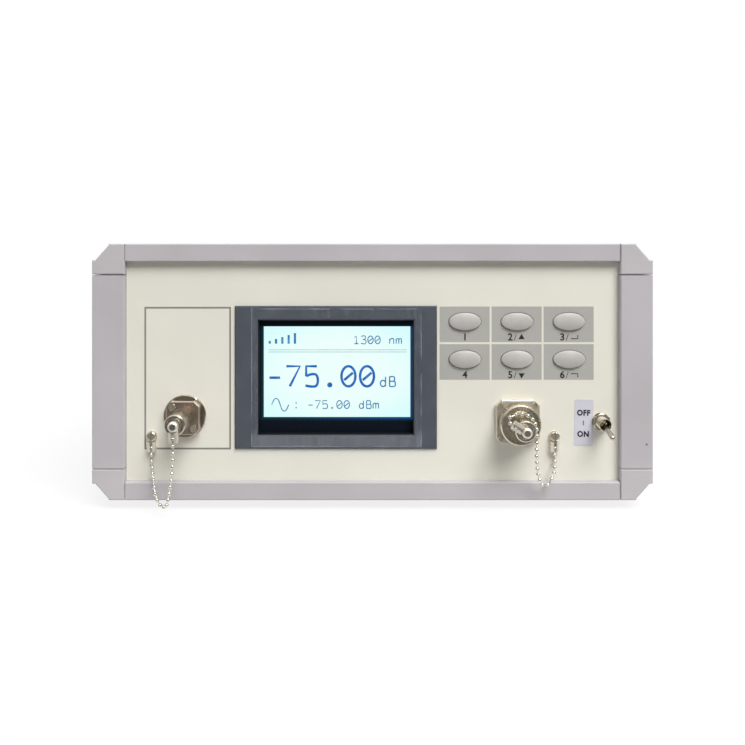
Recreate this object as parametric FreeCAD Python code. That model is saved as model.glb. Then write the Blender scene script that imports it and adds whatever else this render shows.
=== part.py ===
# Bench optical return loss meter, built as separate pieces in millimetres.
# X runs to the right, Y from the front to the rear and Z up. The feet stand on Z = 0.
import FreeCAD
import Part
import math
import os

V = FreeCAD.Vector

# Case
case_width = 280.0
case_height = 128.0
case_depth = 250.0
ground_gap = 5.0

# Front and rear rings, each of four bars and four corner castings
ring_depth = 16.0
bar_height = 9.0
bar_width = 16.2
corner_height = 15.4
corner_chamfer = 8.2
corner_ledge = 1.6
corner_step = 0.7
seam = 0.4
edge_break = 0.5
groove_depth = 2.5
groove_play = 0.15
front_recess = 4.0
rear_recess = 9.0

# Sheet covers and side panels
cover_sheet = 1.2
cover_inset = 1.0
cover_lap = 6.0
vent_count = 14
vent_width = 3.0
vent_length = 36.0
vent_pitch = 8.0

# Tie rods and case screws
rod_radius = 4.0
rod_inset = 10.0
spigot_radius = 2.5
spigot_length = 5.0
tapped_play = 0.05
screw_radius = 2.0
screw_play = 0.2
screw_head_radius = 3.5
screw_head = 2.4
screw_dome = 0.8
screw_sink = 2.8
screw_grip = 9.0
tap_past = 1.0

# Feet
foot_radius = 8.5
foot_taper = 1.3
foot_edge = 0.8
foot_from_side = 20.0
foot_from_end = 45.0
stem_radius = 2.5
stem_play = 0.1
stem_lip = 0.7
stem_lip_height = 1.6

# Front and rear panels
front_sheet = 2.5
rear_sheet = 2.0
stud_radius = 2.5

# Display
bezel_from_left = 70.8
bezel_from_right = 107.6
display_z = 60.8
bezel_height = 71.8
bezel_proud = 1.5
bezel_edge = 0.6
bezel_side = 12.1
bezel_rail = 7.45
window_slope = 0.8
bezel_wall = 2.0
cutout_play = 0.3
glass_depth = 5.0
glass_margin = 3.5
glass_thickness = 2.2
lcd_board_margin = 9.0
lcd_board_thickness = 1.6
backlight_thickness = 4.0
lcd_stud_inset = 3.0

# Keys
key_columns = 3
key_rows = 2
keys_from_right = 41.0
key_top_z = 88.8
key_pitch_x = 26.2
key_pitch_z = 19.0
key_width = 16.2
key_height = 9.0
key_proud = 2.3
key_crown_across = 26.0
key_crown_up = 10.0
key_edge = 0.8
key_play = 0.3
key_skirt = 1.5
key_skirt_thickness = 1.0
key_rest_gap = 0.05
key_travel = 1.2
pill_radius = 2.4
pill_length = 1.0
key_board_margin = 5.0
key_board_thickness = 1.6
key_pad_gap = 0.05

# Threaded optical nipple, the same on both ports
nipple_radius = 4.0
nipple_length = 6.0
nipple_bore_radius = 2.7
nipple_bore_depth = 5.0
nipple_edge = 0.4
sleeve_radius = 1.7
ferrule_radius = 1.25
key_slot_width = 2.1
key_slot_depth = 3.0
boss_radius = 5.4

# Laser port
laser_from_left = 45.6
laser_z = 41.3
disc_radius = 10.7
disc_thickness = 1.2
disc_edge = 0.4
receptacle_side = 16.8
receptacle_thickness = 4.6
receptacle_chamfer = 2.6
receptacle_edge = 0.5
laser_boss = 5.6
barrel_radius = 4.4
barrel_length = 9.0
barrel_play = 0.15
flange_screw_spacing = 10.6
flange_screw_radius = 1.0
flange_screw_head_radius = 1.9
flange_screw_head = 0.9
flange_screw_dome = 0.3
flange_screw_sink = 1.0

# Detector port
detector_from_right = 67.2
detector_z = 38.8
square_side = 22.0
square_chamfer = 3.0
square_thickness = 3.0
square_edge = 0.5
corner_screw_offset = 8.5
corner_screw_radius = 0.9
corner_screw_head_radius = 1.5
corner_screw_head = 1.0
corner_screw_dome = 0.33
knurl_radius = 10.0
knurl_depth = 0.5
knurl_teeth = 54
knurl_gap = 0.3
knurl_length = 5.6
rim_length = 2.6
rim_edge = 0.6
rim_wall = 0.5
dish_depth = 1.6
dish_slope = 0.4
dish_step_radius = 6.9
dish_step = 0.45
spindle_radius = 8.0
detector_boss = 3.4
snout_radius = 7.0
snout_play = 0.2
detector_can_radius = 11.0
detector_can_length = 22.0

# Screw caps with a tether post
cap_radius = 5.1
cap_length = 10.8
cap_edge = 0.5
cap_rest_gap = 0.1
cap_end_gap = 0.3
thread_play = 0.05
cap_face_radius = 4.0
cap_face_depth = 0.5
neck_radius = 1.3
neck_length = 1.9
head_radius = 2.5
head_thickness = 1.9
head_edge = 1.1

# Sheet clasps at both ends of each chain
clasp_sheet = 0.55
clasp_ring_radius = 2.5
clasp_ring_play = 0.3
clasp_length = 7.6
clasp_side_play = 0.5
clasp_mouth_share = 0.72
clasp_lip_play = 0.05
clasp_head_gap = 0.2
clasp_lap = 1.0

# Bead chains
bead_radius = 1.0
bead_pitch = 3.1
bead_play = 0.25
link_radius = 0.28
slot_play = 0.15
wrap_gap = 0.35

# Chain anchors on the front panel, placed from their port
laser_anchor_dx = -16.4
laser_anchor_dz = -9.9
detector_anchor_dx = 18.6
detector_anchor_dz = -7.4
anchor_shank_radius = 1.25
anchor_head_radius = 2.5
anchor_head = 2.0
anchor_dome = 0.9
anchor_shoulder = 0.9
anchor_grip = 5.0
driver_slot_width = 0.7
driver_slot_share = 0.4

# Way of each chain between its clasps: right of the port, before the panel, above the ring's underside
laser_route = [
    (-0.6, 23.2, 22.0),
    (-1.5, 22.6, 14.0),
    (-3.3, 21.0, 5.0),
    (-5.0, 18.6, 0.9),
    (-9.2, 14.4, 0.7),
    (-12.4, 10.6, 5.2),
    (-14.2, 7.4, 13.6),
]
detector_wrap_from = 150.0
detector_wrap_to = 0.0
detector_wrap_steps = 5
detector_wrap_exit = 10.4
detector_wrap_reach = 17.6
detector_route = [
    (6.3, 17.3, 31.0),
    (6.6, 15.8, 23.0),
    (8.0, 12.8, 14.6),
    (10.2, 10.4, 9.2),
    (14.0, 9.4, 9.0),
    (17.2, 7.6, 15.2),
]

# Power switch
switch_from_right = 25.1
switch_z = 38.5
bushing_radius = 3.0
bushing_reach = 8.9
bushing_edge = 0.4
bushing_play = 0.1
mouth_radius = 2.65
ball_radius = 2.2
ball_play = 0.12
pivot_reach = 4.6
lever_length = 17.2
lever_root_radius = 0.95
lever_tip_radius = 1.35
lever_tilt = 12.5
nut_across_flats = 8.0
nut_thickness = 2.0
nut_edge = 0.4
washer_radius = 4.4
washer_thickness = 0.6
switch_body_width = 7.9
switch_body_height = 13.2
switch_body_depth = 9.6
pin_count = 3
pin_pitch = 4.7
pin_width = 2.0
pin_thickness = 0.8
pin_length = 4.0

# Mains inlet
inlet_from_left = 52.0
inlet_z = 44.0
inlet_flange_width = 50.0
inlet_flange_height = 24.0
inlet_flange = 2.6
inlet_flange_edge = 0.6
inlet_body_width = 27.6
inlet_body_height = 19.8
inlet_body_depth = 22.0
inlet_wall = 1.7
inlet_key = 4.0
inlet_cavity_depth = 15.5
blade_width = 2.0
blade_height = 4.0
blade_length = 13.5
blade_spacing = 14.0
blade_offset = 2.0
inlet_screw_spacing = 40.0
inlet_screw_radius = 1.6
inlet_screw_sink = 1.4

# Serial connector
serial_from_right = 78.0
serial_z = 44.0
serial_plate_width = 30.8
serial_plate_height = 12.5
serial_plate = 1.0
serial_shell_width = 16.9
serial_shell_height = 8.3
serial_shell_slant = 0.8
serial_shell = 5.8
serial_body_width = 19.2
serial_body_height = 10.6
serial_body_depth = 11.0
jack_spacing = 25.0
jack_across_flats = 4.8
jack_length = 5.0
contact_radius = 0.6
contact_pitch = 2.74
contact_rows = (5, 4)
contact_depth = 4.0

# Inside the case
standoff_radius = 3.0
standoff_height = 8.0
board_thickness = 1.6
main_board_depth = 130.0
board_to_rods = 6.0
board_to_supply = 10.0
main_board_from_front = 62.0
standoff_inset = 7.0
supply_width = 56.0
supply_to_rods = 10.0
supply_vent_inset = 9.0
source_to_supply = 8.0
supply_height = 34.0
supply_from_rear = 52.0
supply_vents = 6
supply_vent_width = 4.0
source_width = 44.0
source_depth = 58.0
source_height = 22.0
source_fins = 7
source_fin_depth = 6.0
source_from_front = 30.0
coupler_width = 110.0
coupler_depth = 78.0
coupler_height = 12.0
coupler_lid = 1.2
coupler_lid_inset = 3.0

# Places that follow from the sizes above
base_z = ground_gap
top_z = base_z + case_height
half_width = case_width / 2
rods_clear = half_width - rod_inset - rod_radius
laser_x = laser_from_left - half_width
detector_x = half_width - detector_from_right
switch_x = half_width - switch_from_right
inlet_x = inlet_from_left - half_width
serial_x = half_width - serial_from_right
key_first_x = half_width - keys_from_right - key_pitch_x * (key_columns - 1)
bezel_width = case_width - bezel_from_left - bezel_from_right
display_x = bezel_from_left - half_width + bezel_width / 2
window_width = bezel_width - 2 * bezel_side
window_height = bezel_height - 2 * bezel_rail
supply_x = supply_to_rods - rods_clear + supply_width / 2
board_left = supply_x + supply_width / 2 + board_to_supply
main_board_width = rods_clear - board_to_rods - board_left
main_board_x = board_left + main_board_width / 2
cover_step = cover_inset + cover_sheet
cover_chamfer = corner_chamfer + corner_ledge
floor_z = base_z + cover_step
laser_seat = disc_thickness + receptacle_thickness + laser_boss
detector_face = square_thickness + knurl_gap + knurl_length + rim_length
detector_seat = detector_face - dish_depth + detector_boss
clasp_ring_gap = (neck_length - clasp_sheet) / 2
bead_seat = clasp_length - clasp_sheet - bead_play - bead_radius
bead_lift = clasp_sheet + bead_play + bead_radius
clasp_mouth = bead_radius * clasp_mouth_share
clasp_depth = bead_lift + math.sqrt((bead_radius + clasp_lip_play) ** 2 - clasp_mouth ** 2) + clasp_sheet
clasp_fold = max(head_radius, anchor_head_radius) + clasp_head_gap
post_reach = cap_rest_gap + cap_length + max(neck_length + head_thickness, clasp_ring_gap + clasp_depth)
lever_reach = pivot_reach + lever_length
front_reach = max(laser_seat + post_reach, detector_seat + post_reach, lever_reach) - front_recess
front_y = (front_reach - case_depth) / 2
rear_y = front_y + case_depth
panel_y = front_y + front_recess
supply_front_y = panel_y + source_from_front + source_depth + source_to_supply
rear_panel_y = rear_y - rear_recess
cover_front_y = front_y + ring_depth - cover_lap
cover_rear_y = rear_y - ring_depth + cover_lap
glass_y = panel_y - bezel_proud + glass_depth
lcd_board_y = glass_y + glass_thickness + backlight_thickness
key_back = front_sheet + key_rest_gap + key_skirt_thickness + pill_length
key_board_y = panel_y + key_back + key_travel + key_pad_gap


def prism(points, sweep):
    """Closed outline of points swept along a vector."""
    wire = Part.makePolygon(points + points[:1])
    return Part.Face(wire).extrude(sweep)


def slab(x, y, z):
    """Box between a low and a high value on each axis."""
    return Part.makeBox(x[1] - x[0], y[1] - y[0], z[1] - z[0], V(x[0], y[0], z[0]))


def centred(x, z, width, height, y):
    """Box that is centred on a point of the front, between two depths."""
    across = (x - width / 2, x + width / 2)
    return slab(across, y, (z - height / 2, z + height / 2))


def round_bar(x, z, radius, y):
    """Cylinder along Y between two depths."""
    return Part.makeCylinder(radius, y[1] - y[0], V(x, y[0], z), V(0, 1, 0))


def turned(x, z, seat_y, outline):
    """Full turn of (radius, reach) points, with reach measured towards the front from seat_y."""
    points = [V(radius, seat_y - reach, 0) for radius, reach in outline]
    wire = Part.makePolygon(points + points[:1])
    solid = Part.Face(wire).revolve(V(0, 0, 0), V(0, 1, 0), 360)
    solid.translate(V(x, 0, z))
    return solid


def hexagon(x, z, across_flats, y):
    """Six-sided bar along Y, with flats at the left and right."""
    radius = across_flats / math.sqrt(3)
    corners = [math.radians(30 + 60 * side) for side in range(6)]
    points = [V(x + radius * math.cos(a), y[0], z + radius * math.sin(a)) for a in corners]
    return prism(points, V(0, y[1] - y[0], 0))


def edges_at(shape, y):
    """Edges that lie wholly in one plane across Y."""
    return [e for e in shape.Edges if all(abs(v.Y - y) < 1e-6 for v in e.Vertexes)]


def joined(shapes):
    """One solid from several that touch or overlap."""
    return shapes[0].multiFuse(shapes[1:]).removeSplitter()


def chamfered_square(x, z, side, chamfer, y):
    """Square bar along Y with its four long edges cut at 45 degrees."""
    far = side / 2
    near = far - chamfer
    spots = [(far, near), (near, far), (-near, far), (-far, near)]
    spots += [(-a, -b) for a, b in spots]
    return prism([V(x + a, y[0], z + b) for a, b in spots], V(0, y[1] - y[0], 0))


def bar_outline(face, recess, sheet):
    """Section of a ring bar as (depth from the ring's face, distance from the case's outside)."""
    lap = ring_depth - cover_lap
    groove = (recess, recess + sheet + groove_play)
    bottom = face - groove_depth
    return [
        (0, edge_break), (edge_break, 0), (lap, 0), (lap, cover_step),
        (ring_depth, cover_step), (ring_depth, face),
        (groove[1], face), (groove[1], bottom), (groove[0], bottom), (groove[0], face),
        (edge_break, face), (0, face - edge_break),
    ]


def level_bar(face_y, inward, recess, sheet, side):
    """Top (side 1) or bottom (side -1) bar of a ring."""
    outer = top_z if side > 0 else base_z
    reach = half_width - bar_width - seam
    section = bar_outline(bar_height, recess, sheet)
    points = [V(-reach, face_y + inward * d, outer - side * h) for d, h in section]
    return prism(points, V(2 * reach, 0, 0))


def upright_bar(face_y, inward, recess, sheet, side):
    """Right (side 1) or left (side -1) bar of a ring."""
    low = base_z + corner_height + seam
    section = bar_outline(bar_width, recess, sheet)
    points = [V(side * (half_width - h), face_y + inward * d, low) for d, h in section]
    return prism(points, V(0, 0, case_height - 2 * (corner_height + seam)))


def corner_face():
    """Outline of a corner casting's front, from the case's outer corner."""
    return [
        (0, corner_height), (0, corner_chamfer), (corner_ledge, corner_chamfer),
        (corner_chamfer, corner_step), (corner_chamfer, 0), (bar_width, 0), (bar_width, corner_height),
    ]


def corner_lap():
    """Outline of a corner casting where the covers lap over it."""
    slant = cover_chamfer + cover_step * (math.sqrt(2) - 1)
    return [
        (cover_step, corner_height), (cover_step, slant), (slant, cover_step),
        (bar_width, cover_step), (bar_width, corner_height),
    ]


def corner_casting(face_y, inward, recess, sheet, across, up):
    """Corner of a ring, with the panel's groove cut in it."""
    edge_z = top_z if up > 0 else base_z

    def swept(outline, start, end):
        points = [
            V(across * (half_width - a), face_y + inward * start, edge_z - up * b)
            for a, b in outline
        ]
        return prism(points, V(0, inward * (end - start), 0))

    front = swept(corner_face(), 0, ring_depth - cover_lap)
    front = front.makeChamfer(edge_break, edges_at(front, face_y))
    rear = swept(corner_lap(), ring_depth - cover_lap, ring_depth)
    in_x = bar_width - groove_depth
    in_z = bar_height - groove_depth
    past = groove_depth + corner_height
    notch = [(in_x, in_z), (in_x + past, in_z), (in_x + past, in_z + past), (in_x, in_z + past)]
    groove = swept(notch, recess, recess + sheet + groove_play)
    return joined([front, rear]).cut(groove)


def rod_places():
    """Centres of the four tie rods."""
    away_x = half_width - rod_inset
    return [(a * away_x, z) for a in (-1, 1) for z in (base_z + rod_inset, top_z - rod_inset)]


def front_corner(across, up):
    """Front casting with the blind hole that a tie rod's spigot is pressed into."""
    casting = corner_casting(front_y, 1, front_recess, front_sheet, across, up)
    x = across * (half_width - rod_inset)
    z = top_z - rod_inset if up > 0 else base_z + rod_inset
    back = front_y + ring_depth
    return casting.cut(round_bar(x, z, spigot_radius + tapped_play, (back - spigot_length, back)))


def rear_corners():
    """Four rear castings, each with a stepped hole for its case screw."""
    castings = []
    for across in (-1, 1):
        for up in (-1, 1):
            castings.append(corner_casting(rear_y, -1, rear_recess, rear_sheet, across, up))
    cutters = []
    for x, z in rod_places():
        cutters.append(round_bar(x, z, screw_radius + screw_play, (rear_y - ring_depth, rear_y)))
        cutters.append(round_bar(x, z, screw_head_radius + screw_play, (rear_y - screw_sink, rear_y)))
    return Part.makeCompound([casting.cut(cutters) for casting in castings])


def tie_rods():
    """Rods from ring to ring, pressed into the front castings and tapped at the rear."""
    front = front_y + ring_depth
    rear = rear_y - ring_depth
    rods = []
    for x, z in rod_places():
        rod = round_bar(x, z, rod_radius, (front, rear))
        spigot = round_bar(x, z, spigot_radius, (front - spigot_length, front))
        hole = round_bar(x, z, screw_radius + tapped_play, (rear - screw_grip - tap_past, rear))
        rods.append(rod.fuse(spigot).cut(hole))
    return Part.makeCompound(rods)


def case_screws():
    """Pan-head screws that clamp the rear castings to the tie rods."""
    seat = rear_y - screw_sink
    tip = rear_y - ring_depth - screw_grip
    screws = []
    for x, z in rod_places():
        head = round_bar(x, z, screw_head_radius, (seat, seat + screw_head))
        head = head.makeFillet(screw_dome, edges_at(head, seat + screw_head))
        screws.append(head.fuse(round_bar(x, z, screw_radius, (tip, seat))))
    return Part.makeCompound(screws)


def cover_line(inset, up):
    """Folded outline of a cover at a distance inside the case's outline."""
    edge_z = top_z if up > 0 else base_z
    slant = cover_chamfer + inset * (math.sqrt(2) - 1)
    half = [(half_width - inset, corner_height), (half_width - inset, slant), (half_width - slant, inset)]
    line = half + [(-x, h) for x, h in reversed(half)]
    return [V(x, cover_front_y, edge_z - up * h) for x, h in line]


def cover(up):
    """Folded sheet cover, top (up 1) or bottom (up -1)."""
    outline = cover_line(cover_inset, up) + list(reversed(cover_line(cover_step, up)))
    return prism(outline, V(0, cover_rear_y - cover_front_y, 0))


def foot_places():
    """Centres of the four feet, as x and y."""
    x = half_width - foot_from_side
    return [(a * x, y) for y in (front_y + foot_from_end, rear_y - foot_from_end) for a in (-1, 1)]


def standoff_places():
    """Centres of the main board's standoffs, as x and y."""
    x = main_board_width / 2 - standoff_inset
    near = front_y + main_board_from_front + standoff_inset
    far = front_y + main_board_from_front + main_board_depth - standoff_inset
    return [(main_board_x + a * x, y) for a in (-1, 1) for y in (near, far)]


def bottom_cover():
    """Lower cover with holes for the feet and pressed-in standoffs."""
    shape = cover(-1)
    outside = base_z + cover_inset
    for x, y in foot_places():
        shape = shape.cut(Part.makeCylinder(stem_radius + stem_play, cover_sheet, V(x, y, outside)))
    posts = []
    for x, y in standoff_places():
        posts.append(Part.makeCylinder(standoff_radius, standoff_height, V(x, y, floor_z)))
    return joined([shape] + posts)


def foot(x, y):
    """Push-in rubber foot with a stem and a lip above the cover."""
    under = base_z + cover_inset
    outline = [
        (0, 0), (foot_radius - foot_taper - foot_edge, 0), (foot_radius - foot_taper, foot_edge),
        (foot_radius, under), (stem_radius, under), (stem_radius, floor_z),
        (stem_radius + stem_lip, floor_z), (stem_radius, floor_z + stem_lip_height),
        (0, floor_z + stem_lip_height),
    ]
    wire = Part.makePolygon([V(r, 0, h) for r, h in outline + outline[:1]])
    solid = Part.Face(wire).revolve(V(0, 0, 0), V(0, 0, 1), 360)
    solid.translate(V(x, y, 0))
    return solid


def vent_slot(x, y, z):
    """Upright slot with round ends, cut through a side panel."""
    straight = (vent_length - vent_width) / 2
    r = vent_width / 2
    cut = slab((x[0], x[1]), (y - r, y + r), (z - straight, z + straight))
    sheet = x[1] - x[0]
    ends = [Part.makeCylinder(r, sheet, V(x[0], y, z + s), V(1, 0, 0)) for s in (-straight, straight)]
    return joined([cut] + ends)


def side_panel(side):
    """Flat side panel with two rows of vent slots towards the rear."""
    outer = side * (half_width - cover_inset)
    inner = side * (half_width - cover_step)
    x = (min(outer, inner), max(outer, inner))
    z = (base_z + corner_height + seam, top_z - corner_height - seam)
    panel = slab(x, (cover_front_y, cover_rear_y), z)
    first = cover_rear_y - cover_lap - vent_pitch
    middle = base_z + case_height / 2
    step = (vent_length + vent_pitch) / 2
    slots = [
        vent_slot(x, first - vent_pitch * n, middle + row * step)
        for n in range(vent_count) for row in (-1, 1)
    ]
    return panel.cut(slots)


def panel_blank(y):
    """Plate that fills a ring's groove, between two depths."""
    far_x = half_width - bar_width + groove_depth - groove_play
    low = base_z + bar_height - groove_depth + groove_play
    high = top_z - bar_height + groove_depth - groove_play
    return slab((-far_x, far_x), y, (low, high))


def oval(x, z, width, height, y):
    """Elliptical bar along Y between two depths."""
    centre = V(x, y[0], z)
    curve = Part.Ellipse(V(x + width / 2, y[0], z), V(x, y[0], z + height / 2), centre)
    return Part.Face(Part.Wire([curve.toShape()])).extrude(V(0, y[1] - y[0], 0))


def key_places():
    """Centres of the keys, row by row from the top left."""
    spots = []
    for row in range(key_rows):
        for column in range(key_columns):
            spots.append((key_first_x + key_pitch_x * column, base_z + key_top_z - key_pitch_z * row))
    return spots


def key_board_box():
    """Middle and size of the board behind the keys."""
    x = key_first_x + key_pitch_x * (key_columns - 1) / 2
    z = base_z + key_top_z - key_pitch_z * (key_rows - 1) / 2
    width = key_pitch_x * (key_columns - 1) + key_width + 2 * key_skirt + 2 * key_board_margin
    height = key_pitch_z * (key_rows - 1) + key_height + 2 * key_skirt + 2 * key_board_margin
    return x, z, width, height


def lcd_board_box():
    """Middle and size of the display's board."""
    width = window_width + 2 * lcd_board_margin
    height = window_height + 2 * lcd_board_margin
    return display_x, base_z + display_z, width, height


def corners_of(box, inset):
    """Four corner points of a middle and size, moved in by an inset."""
    x, z, width, height = box
    return [
        (x + a * (width / 2 - inset), z + b * (height / 2 - inset))
        for a in (-1, 1) for b in (-1, 1)
    ]


def panel_studs():
    """Studs on the back of the front panel that carry the two boards behind it."""
    back = panel_y + front_sheet
    studs = []
    for x, z in corners_of(lcd_board_box(), lcd_stud_inset):
        studs.append(round_bar(x, z, stud_radius, (back, lcd_board_y)))
    for x, z in corners_of(key_board_box(), stud_radius):
        studs.append(round_bar(x, z, stud_radius, (back, key_board_y)))
    return studs


def anchor_places():
    """Centres of the two chain anchors on the panel."""
    return [
        (laser_x + laser_anchor_dx, base_z + laser_z + laser_anchor_dz),
        (detector_x + detector_anchor_dx, base_z + detector_z + detector_anchor_dz),
    ]


def front_panel():
    """Front plate with all its cut-outs and the studs behind it."""
    depth = (panel_y, panel_y + front_sheet)
    around = 2 * (bezel_wall + cutout_play)
    cutters = [
        centred(display_x, base_z + display_z, window_width + around, window_height + around, depth),
        round_bar(laser_x, base_z + laser_z, barrel_radius + barrel_play, depth),
        round_bar(detector_x, base_z + detector_z, snout_radius + snout_play, depth),
        round_bar(switch_x, base_z + switch_z, bushing_radius + bushing_play, depth),
    ]
    key_hole = (key_width + 2 * key_play, key_height + 2 * key_play)
    cutters += [oval(x, z, key_hole[0], key_hole[1], depth) for x, z in key_places()]
    cutters += screw_holes(anchor_places(), anchor_shank_radius, depth)
    cutters += screw_holes(flange_screw_places(), flange_screw_radius, depth)
    cutters += screw_holes(corner_screw_places(), corner_screw_radius, depth)
    return joined([panel_blank(depth).cut(cutters)] + panel_studs())


def rear_panel():
    """Rear plate with cut-outs for the two connectors."""
    depth = (rear_panel_y - rear_sheet, rear_panel_y)
    cutters = [
        centred(inlet_x, base_z + inlet_z, inlet_body_width + 2 * cutout_play,
                inlet_body_height + 2 * cutout_play, depth),
        centred(serial_x, base_z + serial_z, serial_body_width + 2 * cutout_play,
                serial_body_height + 2 * cutout_play, depth),
    ]
    return panel_blank(depth).cut(cutters)


def display_bezel():
    """Frame on the panel with a sloped window and a wall that goes back to the glass."""
    z = base_z + display_z
    front = panel_y - bezel_proud
    plate = centred(display_x, z, bezel_width, bezel_height, (front, panel_y))
    plate = plate.makeChamfer(bezel_edge, edges_at(plate, front))
    around = 2 * bezel_wall
    wall = centred(display_x, z, window_width + around, window_height + around, (panel_y, glass_y))
    window = centred(display_x, z, window_width, window_height, (front, glass_y))
    slope = []
    for grow, y in ((window_slope, front), (0, front + window_slope)):
        wide = window_width / 2 + grow
        tall = window_height / 2 + grow
        ring = [(-wide, -tall), (wide, -tall), (wide, tall), (-wide, tall), (-wide, -tall)]
        slope.append(Part.makePolygon([V(display_x + a, y, z + b) for a, b in ring]))
    bevel = Part.makeLoft(slope, True, True)
    return plate.fuse(wall).cut([window, bevel]).removeSplitter()


def lcd_glass():
    """Glass cell behind the bezel."""
    width = window_width + 2 * glass_margin
    height = window_height + 2 * glass_margin
    return centred(display_x, base_z + display_z, width, height, (glass_y, glass_y + glass_thickness))


def lcd_board():
    """Backlight block on its board."""
    x, z, width, height = lcd_board_box()
    light_y = glass_y + glass_thickness
    around = 2 * glass_margin
    block = centred(x, z, window_width + around, window_height + around, (light_y, lcd_board_y))
    board = centred(x, z, width, height, (lcd_board_y, lcd_board_y + lcd_board_thickness))
    return joined([block, board])


def key(x, z):
    """Oval key, crowned across and up, with a skirt behind the panel and a pill at its back."""
    front = panel_y - key_proud
    skirt = panel_y + front_sheet + key_rest_gap
    back = skirt + key_skirt_thickness
    top = oval(x, z, key_width, key_height, (front - key_edge, back))
    centre = V(x, front + key_crown_across, z)
    sweep_radius = key_crown_across - key_crown_up
    crown = Part.makeTorus(sweep_radius, key_crown_up, centre, V(0, 0, 1), -180, 180)
    top = top.common(crown)
    face = min(top.Faces, key=lambda f: f.CenterOfMass.y)
    rim = max(face.Edges, key=lambda e: e.Length)
    top = top.makeFillet(key_edge, [rim])
    flange = oval(x, z, key_width + 2 * key_skirt, key_height + 2 * key_skirt, (skirt, back))
    return joined([top, flange, round_bar(x, z, pill_radius, (back, back + pill_length))])


def key_board():
    """Board that carries the contacts of the keys."""
    x, z, width, height = key_board_box()
    return centred(x, z, width, height, (key_board_y, key_board_y + key_board_thickness))


def nipple(x, z, seat):
    """Threaded nipple in front of a seat, with its sleeve and key slot."""
    tip = seat + nipple_length
    bottom = tip - nipple_bore_depth
    tube = turned(x, z, panel_y, [
        (nipple_bore_radius, seat), (nipple_radius, seat), (nipple_radius, tip - nipple_edge),
        (nipple_radius - nipple_edge, tip), (nipple_bore_radius, tip),
    ])
    floor = turned(x, z, panel_y, [
        (ferrule_radius, seat), (nipple_bore_radius, seat), (nipple_bore_radius, bottom),
        (sleeve_radius, bottom), (sleeve_radius, tip - nipple_edge), (ferrule_radius, tip - nipple_edge),
    ])
    slot = centred(x, z + nipple_radius, key_slot_width, nipple_radius,
                   (panel_y - tip, panel_y - tip + key_slot_depth))
    return tube.cut(slot).fuse(floor)


def screw_holes(places, radius, y):
    """Cutters for screws of one radius, between two depths."""
    return [round_bar(x, z, radius + tapped_play, y) for x, z in places]


def laser_disc():
    """Round plate between the panel and the receptacle."""
    z = base_z + laser_z
    hole = barrel_radius + barrel_play
    disc = turned(laser_x, z, panel_y, [
        (hole, 0), (disc_radius, 0), (disc_radius, disc_thickness - disc_edge),
        (disc_radius - disc_edge, disc_thickness), (hole, disc_thickness),
    ])
    depth = (panel_y - disc_thickness, panel_y)
    return disc.cut(screw_holes(flange_screw_places(), flange_screw_radius, depth))


def flange_screw_places():
    """Centres of the receptacle's two screws, top left and bottom right."""
    away = flange_screw_spacing / 2
    return [(laser_x - away, base_z + laser_z + away), (laser_x + away, base_z + laser_z - away)]


def laser_receptacle():
    """Square receptacle with a barrel through the panel and a threaded nipple."""
    z = base_z + laser_z
    back = panel_y - disc_thickness
    front = back - receptacle_thickness
    block = chamfered_square(laser_x, z, receptacle_side, receptacle_chamfer, (front, back))
    block = block.makeChamfer(receptacle_edge, edges_at(block, front))
    boss = turned(laser_x, z, panel_y, [
        (ferrule_radius, -barrel_length), (barrel_radius, -barrel_length), (barrel_radius, disc_thickness),
        (boss_radius, disc_thickness), (boss_radius, laser_seat), (ferrule_radius, laser_seat),
    ])
    bore = round_bar(laser_x, z, ferrule_radius, (front, back))
    sinks = [round_bar(x, zz, flange_screw_head_radius + screw_play, (front, front + flange_screw_sink))
             for x, zz in flange_screw_places()]
    holes = screw_holes(flange_screw_places(), flange_screw_radius, (front, back))
    return joined([block.cut([bore] + sinks + holes), boss, nipple(laser_x, z, laser_seat)])


def slotted_screws(places, seat, head, shank):
    """Screws whose heads (radius, height, dome) stand on seat, with shanks (radius, end) behind them."""
    front = seat - head[1]
    slot_depth = (front, front + head[1] * driver_slot_share)
    screws = []
    for x, z in places:
        solid = round_bar(x, z, head[0], (front, seat))
        solid = solid.makeFillet(head[2], edges_at(solid, front))
        solid = solid.cut(centred(x, z, driver_slot_width, 2 * head[0], slot_depth))
        screws.append(joined([solid, round_bar(x, z, shank[0], (seat, shank[1]))]))
    return Part.makeCompound(screws)


def laser_screws():
    """Two screws sunk in the receptacle's corners and held in the panel."""
    seat = panel_y - disc_thickness - receptacle_thickness + flange_screw_sink
    head = (flange_screw_head_radius, flange_screw_head, flange_screw_dome)
    shank = (flange_screw_radius, panel_y + front_sheet)
    return slotted_screws(flange_screw_places(), seat, head, shank)


def corner_screw_places():
    """Centres of the square flange's four screws."""
    away = corner_screw_offset
    z = base_z + detector_z
    return [(detector_x + a * away, z + b * away) for a in (-1, 1) for b in (-1, 1)]


def square_flange():
    """Square plate of the detector port with chamfered corners."""
    z = base_z + detector_z
    front = panel_y - square_thickness
    plate = chamfered_square(detector_x, z, square_side, square_chamfer, (front, panel_y))
    plate = plate.makeChamfer(square_edge, edges_at(plate, front))
    cutters = [round_bar(detector_x, z, spindle_radius + tapped_play, (front, panel_y))]
    cutters += screw_holes(corner_screw_places(), corner_screw_radius, (front, panel_y))
    return plate.cut(cutters)


def detector_screws():
    """Four screws that stand on the square flange's corners."""
    seat = panel_y - square_thickness
    head = (corner_screw_head_radius, corner_screw_head, corner_screw_dome)
    shank = (corner_screw_radius, panel_y + front_sheet)
    return slotted_screws(corner_screw_places(), seat, head, shank)


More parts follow.
